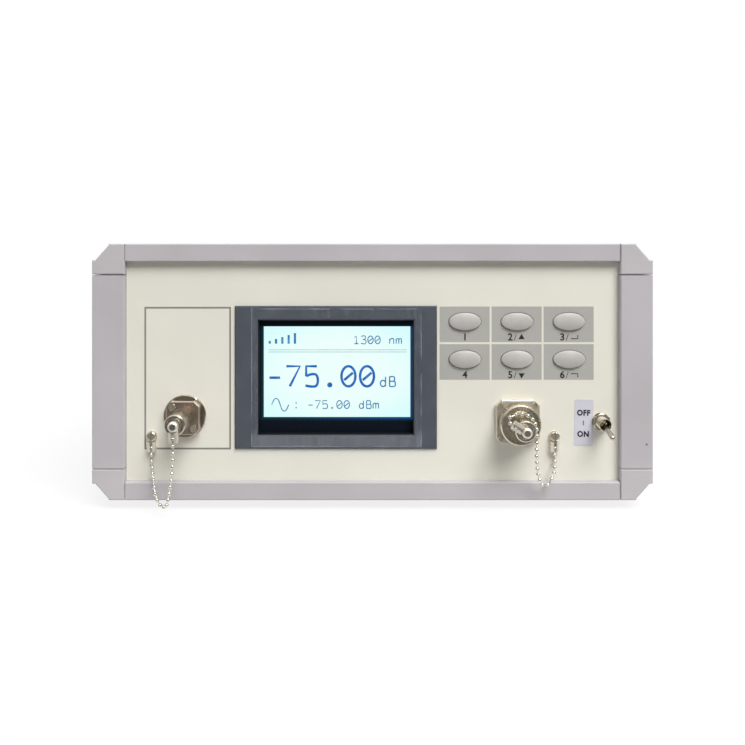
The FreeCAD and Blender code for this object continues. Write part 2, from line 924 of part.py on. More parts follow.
def knurl(x, z, y):
    """Band of straight knurling between two depths."""
    points = []
    for tooth in range(2 * knurl_teeth):
        radius = knurl_radius - knurl_depth * (tooth % 2)
        angle = math.pi * tooth / knurl_teeth
        points.append(V(x + radius * math.cos(angle), y[0], z + radius * math.sin(angle)))
    return prism(points, V(0, y[1] - y[0], 0))


def detector_adapter():
    """Knurled adapter with a stepped dish in its face, a boss and a threaded nipple."""
    z = base_z + detector_z
    back = square_thickness + knurl_gap
    rim = back + knurl_length
    dish = detector_face - dish_depth
    lip = knurl_radius - rim_edge - rim_wall
    body = turned(detector_x, z, panel_y, [
        (ferrule_radius, 0), (spindle_radius, 0), (spindle_radius, rim), (knurl_radius, rim),
        (knurl_radius, detector_face - rim_edge), (knurl_radius - rim_edge, detector_face),
        (lip, detector_face), (lip - dish_slope, dish), (dish_step_radius, dish),
        (dish_step_radius - dish_step, dish + dish_step), (boss_radius, dish + dish_step),
        (boss_radius, detector_seat), (ferrule_radius, detector_seat),
    ])
    bore = round_bar(detector_x, z, spindle_radius, (panel_y - rim, panel_y - back))
    band = knurl(detector_x, z, (panel_y - rim, panel_y - back)).cut(bore)
    return joined([body, band, nipple(detector_x, z, detector_seat)])


def detector_module():
    """Photodiode can behind the panel, with a snout that meets the adapter's spindle."""
    back = -front_sheet - detector_can_length
    return turned(detector_x, base_z + detector_z, panel_y, [
        (0, back), (detector_can_radius, back), (detector_can_radius, -front_sheet),
        (snout_radius, -front_sheet), (snout_radius, 0), (0, 0),
    ])


def screw_cap(x, z, seat):
    """Screw cap over a nipple, with a dished front and a round-edged post for its tether."""
    mouth = seat + cap_rest_gap
    face = mouth + cap_length
    bore = nipple_radius + thread_play
    depth = seat + nipple_length + cap_end_gap
    neck = face + neck_length
    tip = neck + head_thickness
    cap = turned(x, z, panel_y, [
        (bore, mouth), (cap_radius - cap_edge, mouth), (cap_radius, mouth + cap_edge),
        (cap_radius, face - cap_edge), (cap_radius - cap_edge, face), (cap_face_radius, face),
        (cap_face_radius - cap_face_depth, face - cap_face_depth), (neck_radius, face - cap_face_depth),
        (neck_radius, neck), (head_radius, neck), (head_radius, tip), (0, tip), (0, depth), (bore, depth),
    ])
    return cap.makeFillet(head_edge, edges_at(cap, panel_y - tip))


def clasp(x, z, back_y, hole_radius, angle):
    """Folded clasp on a post along Y, its lipped channel pointing down before a turn about Y."""
    half = bead_radius + clasp_side_play
    outer = half + clasp_sheet
    start = -clasp_fold
    end = -clasp_length
    lip_y = (-clasp_depth, clasp_sheet - clasp_depth)
    ring = Part.makeCylinder(clasp_ring_radius, clasp_sheet, V(0, -clasp_sheet, 0), V(0, 1, 0))
    strip = slab((-outer, outer), (-clasp_sheet, 0), (end, start + clasp_lap))
    legs = [slab(side, (-clasp_depth, 0), (end, start)) for side in ((-outer, -half), (half, outer))]
    lips = [slab(side, lip_y, (end, start)) for side in ((-outer, -clasp_mouth), (clasp_mouth, outer))]
    floor = slab((-outer, outer), (-clasp_depth, 0), (end, end + clasp_sheet))
    gap = link_radius + slot_play
    slot = slab((-gap, gap), (-clasp_depth, -bead_lift + gap), (end, end + clasp_sheet))
    hole = Part.makeCylinder(hole_radius, clasp_sheet, V(0, -clasp_sheet, 0), V(0, 1, 0))
    shape = joined([ring, strip, floor] + legs + lips).cut([slot, hole])
    shape.rotate(V(0, 0, 0), V(0, 1, 0), angle)
    shape.translate(V(x, back_y, z))
    return shape


def cap_clasp(x, z, seat, angle):
    """Clasp that hangs on a cap's post."""
    back = panel_y - seat - cap_rest_gap - cap_length - clasp_ring_gap
    return clasp(x, z, back, neck_radius + clasp_ring_play, angle)


def anchor_clasp(index):
    """Clasp that hangs on an anchor screw."""
    x, z = anchor_places()[index]
    return clasp(x, z, panel_y, anchor_shank_radius + clasp_ring_play, 0)


def anchor_screws():
    """Two round-head screws that hold the chains to the panel."""
    seat = panel_y - anchor_shoulder
    head = (anchor_head_radius, anchor_head, anchor_dome)
    shank = (anchor_shank_radius, panel_y + anchor_grip)
    return slotted_screws(anchor_places(), seat, head, shank)


def post_bead_reach(seat):
    """How far before the panel the first bead in a cap's clasp sits."""
    return seat + cap_rest_gap + cap_length + clasp_ring_gap + bead_lift


def chain_poles(x, start, middle, anchor):
    """Guide points of a chain, from the bead in its cap's clasp to the bead at its anchor."""
    poles = list(start)
    poles += [(x + dx, reach, base_z + dz) for dx, reach, dz in middle]
    end = anchor_places()[anchor]
    low = end[1] - bead_seat
    poles += [(end[0], bead_lift, low - drop) for drop in (clasp_length, clasp_length / 2, 0)]
    return [V(px, panel_y - reach, pz) for px, reach, pz in poles]


def laser_chain_poles():
    """Guide points of the laser port's chain, which hangs straight from its clasp."""
    reach = post_bead_reach(laser_seat)
    z = base_z + laser_z - bead_seat
    start = [(laser_x, reach, z - drop) for drop in (0, clasp_length / 2, clasp_length)]
    return chain_poles(laser_x, start, laser_route, 0)


def detector_chain_poles():
    """Guide points of the detector port's chain, which winds over its cap before it hangs."""
    z = base_z + detector_z
    reach = post_bead_reach(detector_seat)
    turn = (detector_wrap_to - detector_wrap_from) / detector_wrap_steps
    around = (cap_radius + bead_radius + wrap_gap) / math.cos(math.radians(turn / 2))
    start = []
    for radius in (bead_seat, clasp_length + bead_play, detector_wrap_exit):
        angle = math.radians(detector_wrap_from)
        start.append((detector_x + radius * math.cos(angle), reach, z + radius * math.sin(angle)))
    for step in range(1, detector_wrap_steps + 1):
        angle = math.radians(detector_wrap_from + turn * step)
        share = step / detector_wrap_steps
        radius = max(around, detector_wrap_exit + (around - detector_wrap_exit) * 2 * share)
        back = reach + (detector_wrap_reach - reach) * share
        start.append((detector_x + radius * math.cos(angle), back, z + radius * math.sin(angle)))
    return chain_poles(detector_x, start, detector_route, 1)


def bead_chain(poles):
    """Beads at an even pitch along a curve, with a straight link between each two."""
    curve = Part.BSplineCurve()
    curve.buildFromPoles(poles, False, 2)
    edge = curve.toShape()
    links = round(edge.Length / bead_pitch)
    centres = edge.discretize(links + 1)
    chain = Part.makeSphere(bead_radius, centres[0], centres[1] - centres[0])
    for here, there in zip(centres, centres[1:]):
        step = there - here
        link = Part.makeCylinder(link_radius, step.Length, here, step)
        chain = chain.fuse([link, Part.makeSphere(bead_radius, there, step)])
    return chain


def switch_body():
    """Switch block with its threaded bushing, washer and terminals."""
    z = base_z + switch_z
    back = panel_y + front_sheet
    block = centred(switch_x, z, switch_body_width, switch_body_height, (back, back + switch_body_depth))
    socket = ball_radius + ball_play
    bush = turned(switch_x, z, panel_y, [
        (0, -front_sheet), (bushing_radius, -front_sheet), (bushing_radius, bushing_reach - bushing_edge),
        (bushing_radius - bushing_edge / 2, bushing_reach), (mouth_radius, bushing_reach),
        (socket, pivot_reach), (socket, pivot_reach - socket), (0, pivot_reach - socket),
    ])
    pins = []
    for n in range(pin_count):
        pin_z = z + pin_pitch * (n - (pin_count - 1) / 2)
        rear = back + switch_body_depth
        pins.append(centred(switch_x, pin_z, pin_width, pin_thickness, (rear, rear + pin_length)))
    return joined([block, bush] + pins)


def switch_nut():
    """Washer and hex nut on the bushing, in front of the panel."""
    z = base_z + switch_z
    front = panel_y - washer_thickness - nut_thickness
    washer = round_bar(switch_x, z, washer_radius, (panel_y - washer_thickness, panel_y))
    nut = hexagon(switch_x, z, nut_across_flats, (front, panel_y - washer_thickness))
    corner = nut_across_flats / math.sqrt(3)
    crown = turned(switch_x, z, panel_y, [
        (0, 0), (corner, 0), (corner, washer_thickness + nut_thickness - nut_edge),
        (nut_across_flats / 2, washer_thickness + nut_thickness), (0, washer_thickness + nut_thickness),
    ])
    hole = round_bar(switch_x, z, bushing_radius + tapped_play, (front, panel_y))
    return joined([nut.common(crown), washer]).cut(hole)


def switch_lever():
    """Tapered lever on a ball, tilted down to the rest position."""
    z = base_z + switch_z
    pivot = V(switch_x, panel_y - pivot_reach, z)
    neck = lever_length - lever_tip_radius
    ball = Part.makeSphere(ball_radius, pivot)
    shank = turned(switch_x, z, pivot.y, [
        (0, 0), (lever_root_radius, 0), (lever_root_radius, ball_radius), (lever_tip_radius, neck), (0, neck),
    ])
    tip = Part.makeSphere(lever_tip_radius, pivot - V(0, neck, 0))
    lever = joined([ball, shank, tip])
    lever.rotate(pivot, V(1, 0, 0), lever_tilt)
    return lever


def inlet_cavity(y):
    """Keyed opening of the mains inlet between two depths."""
    half = inlet_body_width / 2 - inlet_wall
    tall = inlet_body_height / 2 - inlet_wall
    spots = [(-half, -tall), (half, -tall), (half, tall - inlet_key), (half - inlet_key, tall)]
    spots += [(inlet_key - half, tall), (-half, tall - inlet_key)]
    z = base_z + inlet_z
    return prism([V(inlet_x + a, y[0], z + b) for a, b in spots], V(0, y[1] - y[0], 0))


def mains_inlet():
    """Three-blade mains inlet with a screwed flange on the rear panel."""
    z = base_z + inlet_z
    face = rear_panel_y + inlet_flange
    floor = face - inlet_cavity_depth
    flange = centred(inlet_x, z, inlet_flange_width, inlet_flange_height, (rear_panel_y, face))
    flange = flange.makeChamfer(inlet_flange_edge, edges_at(flange, face))
    depth = (face - inlet_body_depth, rear_panel_y)
    body = centred(inlet_x, z, inlet_body_width, inlet_body_height, depth)
    blades = []
    for step in (-1, 0, 1):
        up = blade_offset if step == 0 else -blade_offset
        spot = inlet_x + step * blade_spacing / 2
        blades.append(centred(spot, z + up, blade_width, blade_height, (floor, floor + blade_length)))
    sinks = []
    for side in (-1, 1):
        x = inlet_x + side * inlet_screw_spacing / 2
        sinks.append(round_bar(x, z, inlet_screw_radius, (face - inlet_screw_sink, face)))
    shell = joined([flange, body]).cut([inlet_cavity((floor, face))] + sinks)
    return joined([shell] + blades)


def serial_outline(y):
    """D-shaped outline of the serial connector's shell."""
    wide = serial_shell_width / 2
    tall = serial_shell_height / 2
    spots = [(-wide + serial_shell_slant, -tall), (wide - serial_shell_slant, -tall)]
    spots += [(wide, tall), (-wide, tall)]
    z = base_z + serial_z
    return [V(serial_x + a, y, z + b) for a, b in spots]


def serial_port():
    """Nine-contact connector with jack posts on the rear panel."""
    z = base_z + serial_z
    face = rear_panel_y + serial_plate
    front = face + serial_shell
    plate = centred(serial_x, z, serial_plate_width, serial_plate_height, (rear_panel_y, face))
    shell = prism(serial_outline(face), V(0, serial_shell, 0))
    inside = rear_panel_y - serial_body_depth
    body = centred(serial_x, z, serial_body_width, serial_body_height, (inside, rear_panel_y))
    posts = [hexagon(serial_x + side * jack_spacing / 2, z, jack_across_flats, (face, face + jack_length))
             for side in (-1, 1)]
    holes = []
    for row, count in enumerate(contact_rows):
        for n in range(count):
            x = serial_x + contact_pitch * (n - (count - 1) / 2)
            height = z + contact_pitch * (0.5 - row)
            holes.append(round_bar(x, height, contact_radius, (front - contact_depth, front)))
    return joined([plate, shell, body] + posts).cut(holes)


def main_board():
    """Main circuit board on the bottom cover's standoffs."""
    near = front_y + main_board_from_front
    low = floor_z + standoff_height
    across = (main_board_x - main_board_width / 2, main_board_x + main_board_width / 2)
    return slab(across, (near, near + main_board_depth), (low, low + board_thickness))


def power_supply():
    """Power supply box on the bottom cover, with slots in its lid."""
    far = rear_y - supply_from_rear
    across = (supply_x - supply_width / 2, supply_x + supply_width / 2)
    box = slab(across, (supply_front_y, far), (floor_z, floor_z + supply_height))
    pitch = (far - supply_front_y) / (supply_vents + 1)
    slots = []
    for n in range(supply_vents):
        y = far - pitch * (n + 1)
        reach = (across[0] + supply_vent_inset, across[1] - supply_vent_inset)
        depth = (floor_z + supply_height - supply_vent_width, floor_z + supply_height)
        slots.append(slab(reach, (y - supply_vent_width / 2, y + supply_vent_width / 2), depth))
    return box.cut(slots)


def laser_source():
    """Finned laser source block on the bottom cover, behind its port."""
    near = panel_y + source_from_front
    across = (laser_x - source_width / 2, laser_x + source_width / 2)
    high = floor_z + source_height
    block = slab(across, (near, near + source_depth), (floor_z, high))
    pitch = source_width / (2 * source_fins - 1)
    grooves = []
    for n in range(source_fins - 1):
        x = across[0] + pitch * (2 * n + 1)
        grooves.append(slab((x, x + pitch), (near, near + source_depth), (high - source_fin_depth, high)))
    return block.cut(grooves)


def fibre_coupler():
    """Flat cassette with a raised lid that holds the coupler and its fibre."""
    low = floor_z + standoff_height + board_thickness
    middle = front_y + main_board_from_front + main_board_depth / 2
    lid_width = coupler_width - 2 * coupler_lid_inset
    lid_depth = coupler_depth - 2 * coupler_lid_inset
    tray = slab((main_board_x - coupler_width / 2, main_board_x + coupler_width / 2),
                (middle - coupler_depth / 2, middle + coupler_depth / 2), (low, low + coupler_height))
    lid = slab((main_board_x - lid_width / 2, main_board_x + lid_width / 2),
               (middle - lid_depth / 2, middle + lid_depth / 2),
               (low + coupler_height, low + coupler_height + coupler_lid))
    return joined([tray, lid])


def ring_pieces():
    """Bars and castings of both rings, by node name."""
    pieces = {}
    for name, y, inward, recess, sheet in (
        ("front", front_y, 1, front_recess, front_sheet),
        ("rear", rear_y, -1, rear_recess, rear_sheet),
    ):
        pieces[name + "_top_bar"] = level_bar(y, inward, recess, sheet, 1)
        pieces[name + "_bottom_bar"] = level_bar(y, inward, recess, sheet, -1)
        pieces[name + "_left_bar"] = upright_bar(y, inward, recess, sheet, -1)
        pieces[name + "_right_bar"] = upright_bar(y, inward, recess, sheet, 1)
    for across, side in ((-1, "left"), (1, "right")):
        for up, level in ((1, "top"), (-1, "bottom")):
            pieces["front_corner_" + level + "_" + side] = front_corner(across, up)
    pieces["rear_corners"] = rear_corners()
    return pieces


def case_pieces():
    """Covers, panels, rods, screws and feet, by node name."""
    pieces = {
        "top_cover": cover(1),
        "bottom_cover": bottom_cover(),
        "left_side_panel": side_panel(-1),
        "right_side_panel": side_panel(1),
        "front_panel": front_panel(),
        "rear_panel": rear_panel(),
        "tie_rods": tie_rods(),
        "case_screws": case_screws(),
    }
    for number, (x, y) in enumerate(foot_places(), 1):
        pieces["foot_" + str(number)] = foot(x, y)
    return pieces


def display_pieces():
    """Display, keys and their boards, by node name."""
    pieces = {
        "display_bezel": display_bezel(),
        "lcd_glass": lcd_glass(),
        "lcd_board": lcd_board(),
        "key_board": key_board(),
    }
    for number, (x, z) in enumerate(key_places(), 1):
        pieces["key_" + str(number)] = key(x, z)
    return pieces


def port_pieces():
    """Both optical ports with caps, clasps and chains, by node name."""
    laser_height = base_z + laser_z
    detector_height = base_z + detector_z
    wrap_turn = -90 - detector_wrap_from
    return {
        "laser_disc": laser_disc(),
        "laser_receptacle": laser_receptacle(),
        "laser_screws": laser_screws(),
        "laser_cap": screw_cap(laser_x, laser_height, laser_seat),
        "laser_cap_clasp": cap_clasp(laser_x, laser_height, laser_seat, 0),
        "laser_chain": bead_chain(laser_chain_poles()),
        "laser_anchor_clasp": anchor_clasp(0),
        "detector_flange": square_flange(),
        "detector_screws": detector_screws(),
        "detector_adapter": detector_adapter(),
        "detector_cap": screw_cap(detector_x, detector_height, detector_seat),
        "detector_cap_clasp": cap_clasp(detector_x, detector_height, detector_seat, wrap_turn),
        "detector_chain": bead_chain(detector_chain_poles()),
        "detector_anchor_clasp": anchor_clasp(1),
        "anchor_screws": anchor_screws(),
    }


def other_pieces():
    """Switch, rear connectors and what the case holds, by node name."""
    return {
        "switch_body": switch_body(),
        "switch_nut": switch_nut(),
        "switch_lever": switch_lever(),
        "mains_inlet": mains_inlet(),
        "serial_port": serial_port(),
        "main_board": main_board(),
        "power_supply": power_supply(),
        "laser_source": laser_source(),
        "fibre_coupler": fibre_coupler(),
        "detector_module": detector_module(),
    }


def main():
    """Build every piece and write one file for each."""
    os.makedirs("parts", exist_ok=True)
    pieces = {}
    for group in (ring_pieces, case_pieces, display_pieces, port_pieces, other_pieces):
        pieces.update(group())
    for name, shape in pieces.items():
        shape.exportStep("parts/" + name + ".step")
    print(len(pieces), "pieces")


if __name__ == "__main__":
    main()
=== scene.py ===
"""Looks of a bench optical return loss meter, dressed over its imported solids."""
import logging
import math
from bisect import bisect_left
from dataclasses import KW_ONLY, dataclass
from enum import Enum
from functools import cache
from itertools import accumulate
from typing import Any, Iterable, Optional, Sequence, Union

import bmesh
import bpy
from mathutils import Matrix, Vector


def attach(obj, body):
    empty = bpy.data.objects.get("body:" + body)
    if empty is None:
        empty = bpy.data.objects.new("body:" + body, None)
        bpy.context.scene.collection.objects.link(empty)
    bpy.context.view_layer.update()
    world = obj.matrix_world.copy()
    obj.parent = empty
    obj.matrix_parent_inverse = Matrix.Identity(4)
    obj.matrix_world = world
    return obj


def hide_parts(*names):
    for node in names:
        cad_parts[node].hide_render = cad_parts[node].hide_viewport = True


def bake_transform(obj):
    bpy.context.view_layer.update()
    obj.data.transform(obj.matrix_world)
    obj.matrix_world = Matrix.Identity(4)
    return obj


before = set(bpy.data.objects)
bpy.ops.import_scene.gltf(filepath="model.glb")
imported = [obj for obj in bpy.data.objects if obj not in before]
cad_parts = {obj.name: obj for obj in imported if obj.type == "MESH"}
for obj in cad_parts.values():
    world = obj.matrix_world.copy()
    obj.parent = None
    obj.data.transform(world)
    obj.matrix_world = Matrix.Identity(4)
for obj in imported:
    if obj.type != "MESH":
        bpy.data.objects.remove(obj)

MM = 0.001
TURN = 2 * math.pi
LOG = logging.getLogger("return_loss_meter")
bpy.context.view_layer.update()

BMesh = bmesh.types.BMesh
BMFace = bmesh.types.BMFace
BMVert = bmesh.types.BMVert
Point = tuple[float, float, float]
Spot = tuple[float, float]
Colour = tuple[int, int, int]
Shade = tuple[float, float, float, float]
Stroke = tuple[bool, Sequence[Spot]]
Number = Union["Val", float]

# Sizes are in millimetres. Those of chains and the studio are in metres, and so are those of finishes,
# apart from the middle and half sizes of a rectangle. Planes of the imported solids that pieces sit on:
PANEL_Y = -109.0
BEZEL_Y = -110.5
GLASS_Y = -105.5
REAR_FACE_Y = 137.0
INLET_FACE_Y = 130.6

NOISE_FALL = 0.55  # weight of each finer layer of noise
CAPITAL = 0.73  # height of a capital in parts of the letter size
LETTER_WELD = 1e-4  # distance within which two points are one
THREAD_WELD = 1e-5
CURVE_ORDER = 3
NEAR_TOP = 0.95  # share of a screw head's height, or of an upright normal, that counts as its top


def linear(colour: Colour, share: float = 1.0) -> Shade:
    """Screen colour as the shader's linear colour, made lighter or darker.

    Args:
        colour: Red, green and blue from 0 to 255.
        share: Factor on the linear values.

    Returns:
        Linear red, green and blue, with an alpha of 1.
    """
    parts = [part / 255 for part in colour]
    parts = [part / 12.92 if part <= 0.04045 else ((part + 0.055) / 1.055) ** 2.4 for part in parts]
    red, green, blue = [min(part * share, 1.0) for part in parts]
    return red, green, blue, 1.0


def grey(level: float) -> Shade:
    """Neutral colour of one level."""
    return level, level, level, 1.0


WHITE = grey(1.0)


class Val:
    """Output socket of a node; an expression on it adds Math nodes to its tree."""

    def __init__(self, shader: "Shader", socket: bpy.types.NodeSocket) -> None:
        """Keep the tree and the socket."""
        self.shader = shader
        self.socket = socket

    def math(self, operation: str, *others: Number) -> "Val":
        """One Math node on this value and the others, in order."""
        return self.shader.node("Math", dict(enumerate((self, *others))), operation=operation)

    def __add__(self, other: Number) -> "Val":
        """Sum."""
        return self.math("ADD", other)

    __radd__ = __add__

    def __sub__(self, other: Number) -> "Val":
        """Difference."""
        return self.math("SUBTRACT", other)

    def __rsub__(self, other: Number) -> "Val":
        """Difference from a plain number."""
        return self.math("MULTIPLY_ADD", -1.0, other)

    def __mul__(self, other: Number) -> "Val":
        """Product."""
        return self.math("MULTIPLY", other)

    __rmul__ = __mul__

    def __truediv__(self, other: Number) -> "Val":
        """Quotient."""
        return self.math("DIVIDE", other)

    def __pow__(self, other: Number) -> "Val":
        """Power."""
        return self.math("POWER", other)

    def rise(self, low: float, high: float) -> "Val":
        """Smooth step from 0 at low to 1 at high."""
        return self.shader.node("MapRange", {0: self, 1: low, 2: high}, interpolation_type="SMOOTHSTEP")


class Shader:
    """Node tree of one material or world."""

    def __init__(self, owner: Union[bpy.types.Material, bpy.types.World]) -> None:
        """Start from an empty tree.

        Args:
            owner: Material or world that the tree belongs to.
        """
        owner.use_nodes = True
        self.tree = owner.node_tree
        self.tree.nodes.clear()

    def node(self, kind: str, inputs: Optional[dict[Any, Any]] = None, output: Union[int, str] = 0,
             **settings: Any) -> Optional[Val]:
        """Make one node.

        Args:
            kind: Type of the node, without the words that all types start with.
            inputs: Values or links of its sockets, by index or name.
            output: Socket to return.
            settings: Its properties, which are set first.

        Returns:
            The chosen output, or nothing for an end node.
        """
        made = self.tree.nodes.new("ShaderNode" + kind)
        for key, value in settings.items():
            setattr(made, key, value)
        for key, value in (inputs or {}).items():
            if isinstance(value, Val):
                self.tree.links.new(value.socket, made.inputs[key])
            else:
                made.inputs[key].default_value = value
        return Val(self, made.outputs[output]) if made.outputs else None

    def place(self, kind: str = "Object") -> Val:
        """Coordinates of one kind; object coordinates are in metres."""
        return self.node("TexCoord", output=kind)

    def axes(self, kind: str = "Object") -> tuple[Val, ...]:
        """Coordinates of one kind as three numbers."""
        whole = self.place(kind)
        return tuple(self.node("SeparateXYZ", {0: whole}, axis) for axis in range(3))

    def off_middle(self, middle: Spot, unit: float = MM) -> tuple[Val, Val]:
        """Metres to the right of and above a point of the front, which is in millimetres or another unit."""
        x, _, z = self.axes()
        return x - middle[0] * unit, z - middle[1] * unit

    def beyond(self, middle: Spot, half: Spot) -> Val:
        """Metres from a point of the front to a rectangle given in millimetres, below 0 inside it."""
        out_x, out_z = [off.math("ABSOLUTE") - size * MM for off, size in zip(self.off_middle(middle), half)]
        return out_x.math("MAXIMUM", out_z)

    def around(self, axis: Point) -> tuple[Val, Val, Val]:
        """Distance from an axis along Y, angle round it and place along it."""
        side, up = self.off_middle((axis[0], axis[2]), 1.0)
        return (side * side + up * up) ** 0.5, up.math("ARCTAN2", side), self.axes()[1]

    def noise(self, size: float, detail: float = 2.0, stretch: Point = (1.0, 1.0, 1.0)) -> Val:
        """Soft noise round 0.5.

        Args:
            size: Width of a feature in metres.
            detail: Number of finer layers.
            stretch: How many times finer the pattern is along each axis.

        Returns:
            The noise.
        """
        spot = self.node("Mapping", {"Vector": self.place(), "Scale": stretch})
        sockets = {"Vector": spot, "Scale": 1.0 / size, "Detail": detail, "Roughness": NOISE_FALL}
        return self.node("TexNoise", sockets)

    def pebbles(self, size: float) -> Val:
        """Distance to the middle of the nearest grain."""
        return self.node("TexVoronoi", {"Vector": self.place(), "Scale": 1.0 / size}, feature="SMOOTH_F1")

    def mix(self, share: Number, first: Any, second: Any) -> Val:
        """Blend of two colours by a share."""
        return self.node("Mix", {0: share, 6: first, 7: second}, 2, data_type="RGBA")

    def bump(self, height: Val, distance: float, **below: Val) -> Val:
        """Normal that follows a height times a distance in metres, over another Normal if one is given."""
        return self.node("Bump", {"Height": height, "Distance": distance, "Strength": 1.0, **below})

    def rays(self, kind: str) -> Val:
        """1 for rays of one kind, else 0."""
        return self.node("LightPath", output=f"Is {kind} Ray")

    def mirrored(self) -> Val:
        """1 for rays that come off or through a bright surface, else 0."""
        return self.rays("Glossy").math("MAXIMUM", self.rays("Transmission"))

    def principled(self, gloss: float = 0.5, **sockets: Any) -> None:
        """Principled shader as the surface; each keyword is a socket's name in small letters."""
        named = {key.replace("_", " ").title(): value for key, value in sockets.items()}
        self.node("OutputMaterial", {0: self.node("BsdfPrincipled", {"Specular IOR Level": gloss, **named})})


@dataclass(frozen=True)
class Finish:
    """What every finish has: a name, the record's slot, a colour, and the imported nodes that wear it."""

    name: str
    slot: str
    colour: Colour
    _: KW_ONLY
    nodes: str = ""

    @cache
    def material(self) -> bpy.types.Material:
        """Make the material on first use.

        Returns:
            Material of this finish.
        """
        made = bpy.data.materials.new(self.name)
        self.shade(Shader(made))
        return made

    def shade(self, tree: Shader) -> None:
        """Fill the material's tree; each kind of finish has its own."""
        raise NotImplementedError

    def toned(self, share: float = 1.0) -> Shade:
        """Colour of this finish, lighter or darker by a share."""
        return linear(self.colour, share)


@dataclass(frozen=True)
class Paint(Finish):
    """Stoved paint with a fine peel, broad tone changes and a little dust in its grain."""

    grain: float = 0.5 * MM
    grain_depth: float = 0.02 * MM
    roughness: float = 0.5
    tone: float = 0.04
    tone_width: float = 45 * MM
    speck: Optional[Point] = None
    speck_colour: Colour = (96, 92, 92)

    def shade(self, tree: Shader) -> None:
        """Fill the tree.

        Args:
            tree: Tree of the material.
        """
        peel = tree.noise(self.grain, 3.0)
        cloud = tree.noise(self.tone_width)
        base = tree.mix(cloud.rise(0.3, 0.7), self.toned(1 - self.tone), self.toned(1 + self.tone))
        base = tree.mix(peel.rise(0.56, 0.74) * 0.35, base, self.toned(0.86))
        if self.speck:
            ends = {0: tree.place(), 1: self.speck}
            away = tree.node("VectorMath", ends, "Value", operation="DISTANCE")
            base = tree.mix(1 - away.rise(0.25 * MM, 0.75 * MM), base, linear(self.speck_colour))
        tree.principled(
            base_color=base, gloss=0.4, normal=tree.bump(peel, self.grain_depth),
            roughness=self.roughness + (cloud - 0.5) * 0.12 + (peel - 0.5) * 0.2)


@dataclass(frozen=True)
class Moulding(Finish):
    """Moulded plastic with a spark-eroded grain and slight rubbing."""

    grain: float = 0.35 * MM
    grain_depth: float = 0.03 * MM
    rub_width: float = 14 * MM
    roughness: float = 0.45
    gloss: float = 0.5
    coat: float = 0.0
    coat_roughness: float = 0.2

    def shade(self, tree: Shader) -> None:
        """Fill the tree.

        Args:
            tree: Tree of the material.
        """
        grain = tree.pebbles(self.grain)
        rub = tree.noise(self.rub_width, 3.0)
        base = tree.mix(rub.rise(0.35, 0.7), self.toned(0.94), self.toned(1.07))
        base = tree.mix(grain.rise(0.45, 0.9) * 0.3, base, self.toned(0.8))
        tree.principled(
            base_color=self.tint(tree, base), roughness=self.roughness + (rub - 0.5) * 0.2,
            gloss=self.gloss, coat_weight=self.coat, coat_roughness=self.coat_roughness,
            normal=tree.bump(1 - grain, self.grain_depth))

    def tint(self, tree: Shader, base: Val) -> Val:
        """Colour of the moulding with any painted shade; a plain one has none and keeps its base."""
        return base


@dataclass(frozen=True)
class WindowMoulding(Moulding):
    """Moulding with painted shade, near black, on the inner walls of its window."""

    middle: Spot = (0.0, 0.0)
    half: Spot = (0.0, 0.0)
    wall_from: float = 0.0

    def tint(self, tree: Shader, base: Val) -> Val:
        """Base colour outside, and painted shade, near black, on the walls of the window.

        Args:
            tree: Tree of the material.
            base: Colour of the moulding outside.

        Returns:
            The colour.
        """
        inside = 1 - tree.beyond(self.middle, self.half).rise(0.0, 0.5 * MM)
        # Painted shade: the window's inner walls behind this depth are darkened to near black.
        wall_shade = tree.axes()[1].rise(self.wall_from, self.wall_from + 0.3 * MM)
        return tree.mix(inside * wall_shade, base, self.toned(0.08))


@dataclass(frozen=True)
class Plating(Finish):
    """Bright plated metal with turning marks across Y, faint stains and fine pits.

    A thread is its front's middle, its back, its radius and its pitch. A knob is the middle of its back; the
    knob's rounded rim is painted paler as a highlight.
    """

    roughness: float = 0.22
    stain: float = 0.25
    marks: float = 0.004 * MM
    thread: Optional[tuple[Point, float, float, float]] = None
    knob: Optional[Point] = None
    knob_flat: float = 1.3 * MM
    # Pale colour painted on the knob's rim as a highlight
    knob_tone: Colour = (250, 246, 236)
    knob_roughness: float = 0.5

    def shade(self, tree: Shader) -> None:
        """Fill the tree.

        Args:
            tree: Tree of the material.
        """
        rings = tree.noise(0.35 * MM, 2.0, (0.05, 1.0, 0.05))
        stains = tree.noise(4 * MM, 4.0)
        pits = tree.noise(0.3 * MM, 1.0)
        base = tree.mix(stains.rise(0.4, 0.75) * self.stain, self.toned(), self.toned(0.55))
        rough = self.roughness + (stains - 0.5) * 0.25 + (pits - 0.5) * 0.12
        # Painted highlight: the knob's rounded rim is paler, and also rougher, so it looks lit all round.
        if self.knob:
            rim = self.rim(tree)
            base = tree.mix(rim, base, linear(self.knob_tone))
            rough = rough + rim * (self.knob_roughness - self.roughness)
        normal = tree.bump(rings + pits * 0.4, self.marks)
        if self.thread:
            normal = self.turns(tree, normal)
        tree.principled(base_color=base, metallic=1.0, roughness=rough, normal=normal)

    def rim(self, tree: Shader) -> Val:
        """Rounded rim of a post's knob, in front of the knob's back, painted paler as a highlight all round.

        Args:
            tree: Tree of the material.

        Returns:
            Share of the rim.
        """
        away, _, y = tree.around(self.knob)
        back = self.knob[1]
        return away.rise(self.knob_flat, self.knob_flat + 0.25 * MM) * (1 - y.rise(back - 0.2 * MM, back))

    def turns(self, tree: Shader, below: Val) -> Val:
        """Screw thread as a bump between two depths round an axis along Y.

        Args:
            tree: Tree to add to.
            below: Normal that the thread lies on.

        Returns:
            Normal with the thread.
        """
        front, high, radius, pitch = self.thread
        low = front[1]
        near, far = 0.1 * MM, 0.2 * MM
        away, angle, y = tree.around(front)
        wave = (y * (TURN / pitch) + angle).math("SINE")
        within = away.rise(radius - far, radius - near) * (1 - away.rise(radius + near, radius + far))
        within = within * y.rise(low, low + far) * (1 - y.rise(high - far, high))
        return tree.bump(wave * within, pitch * 0.25, Normal=below)


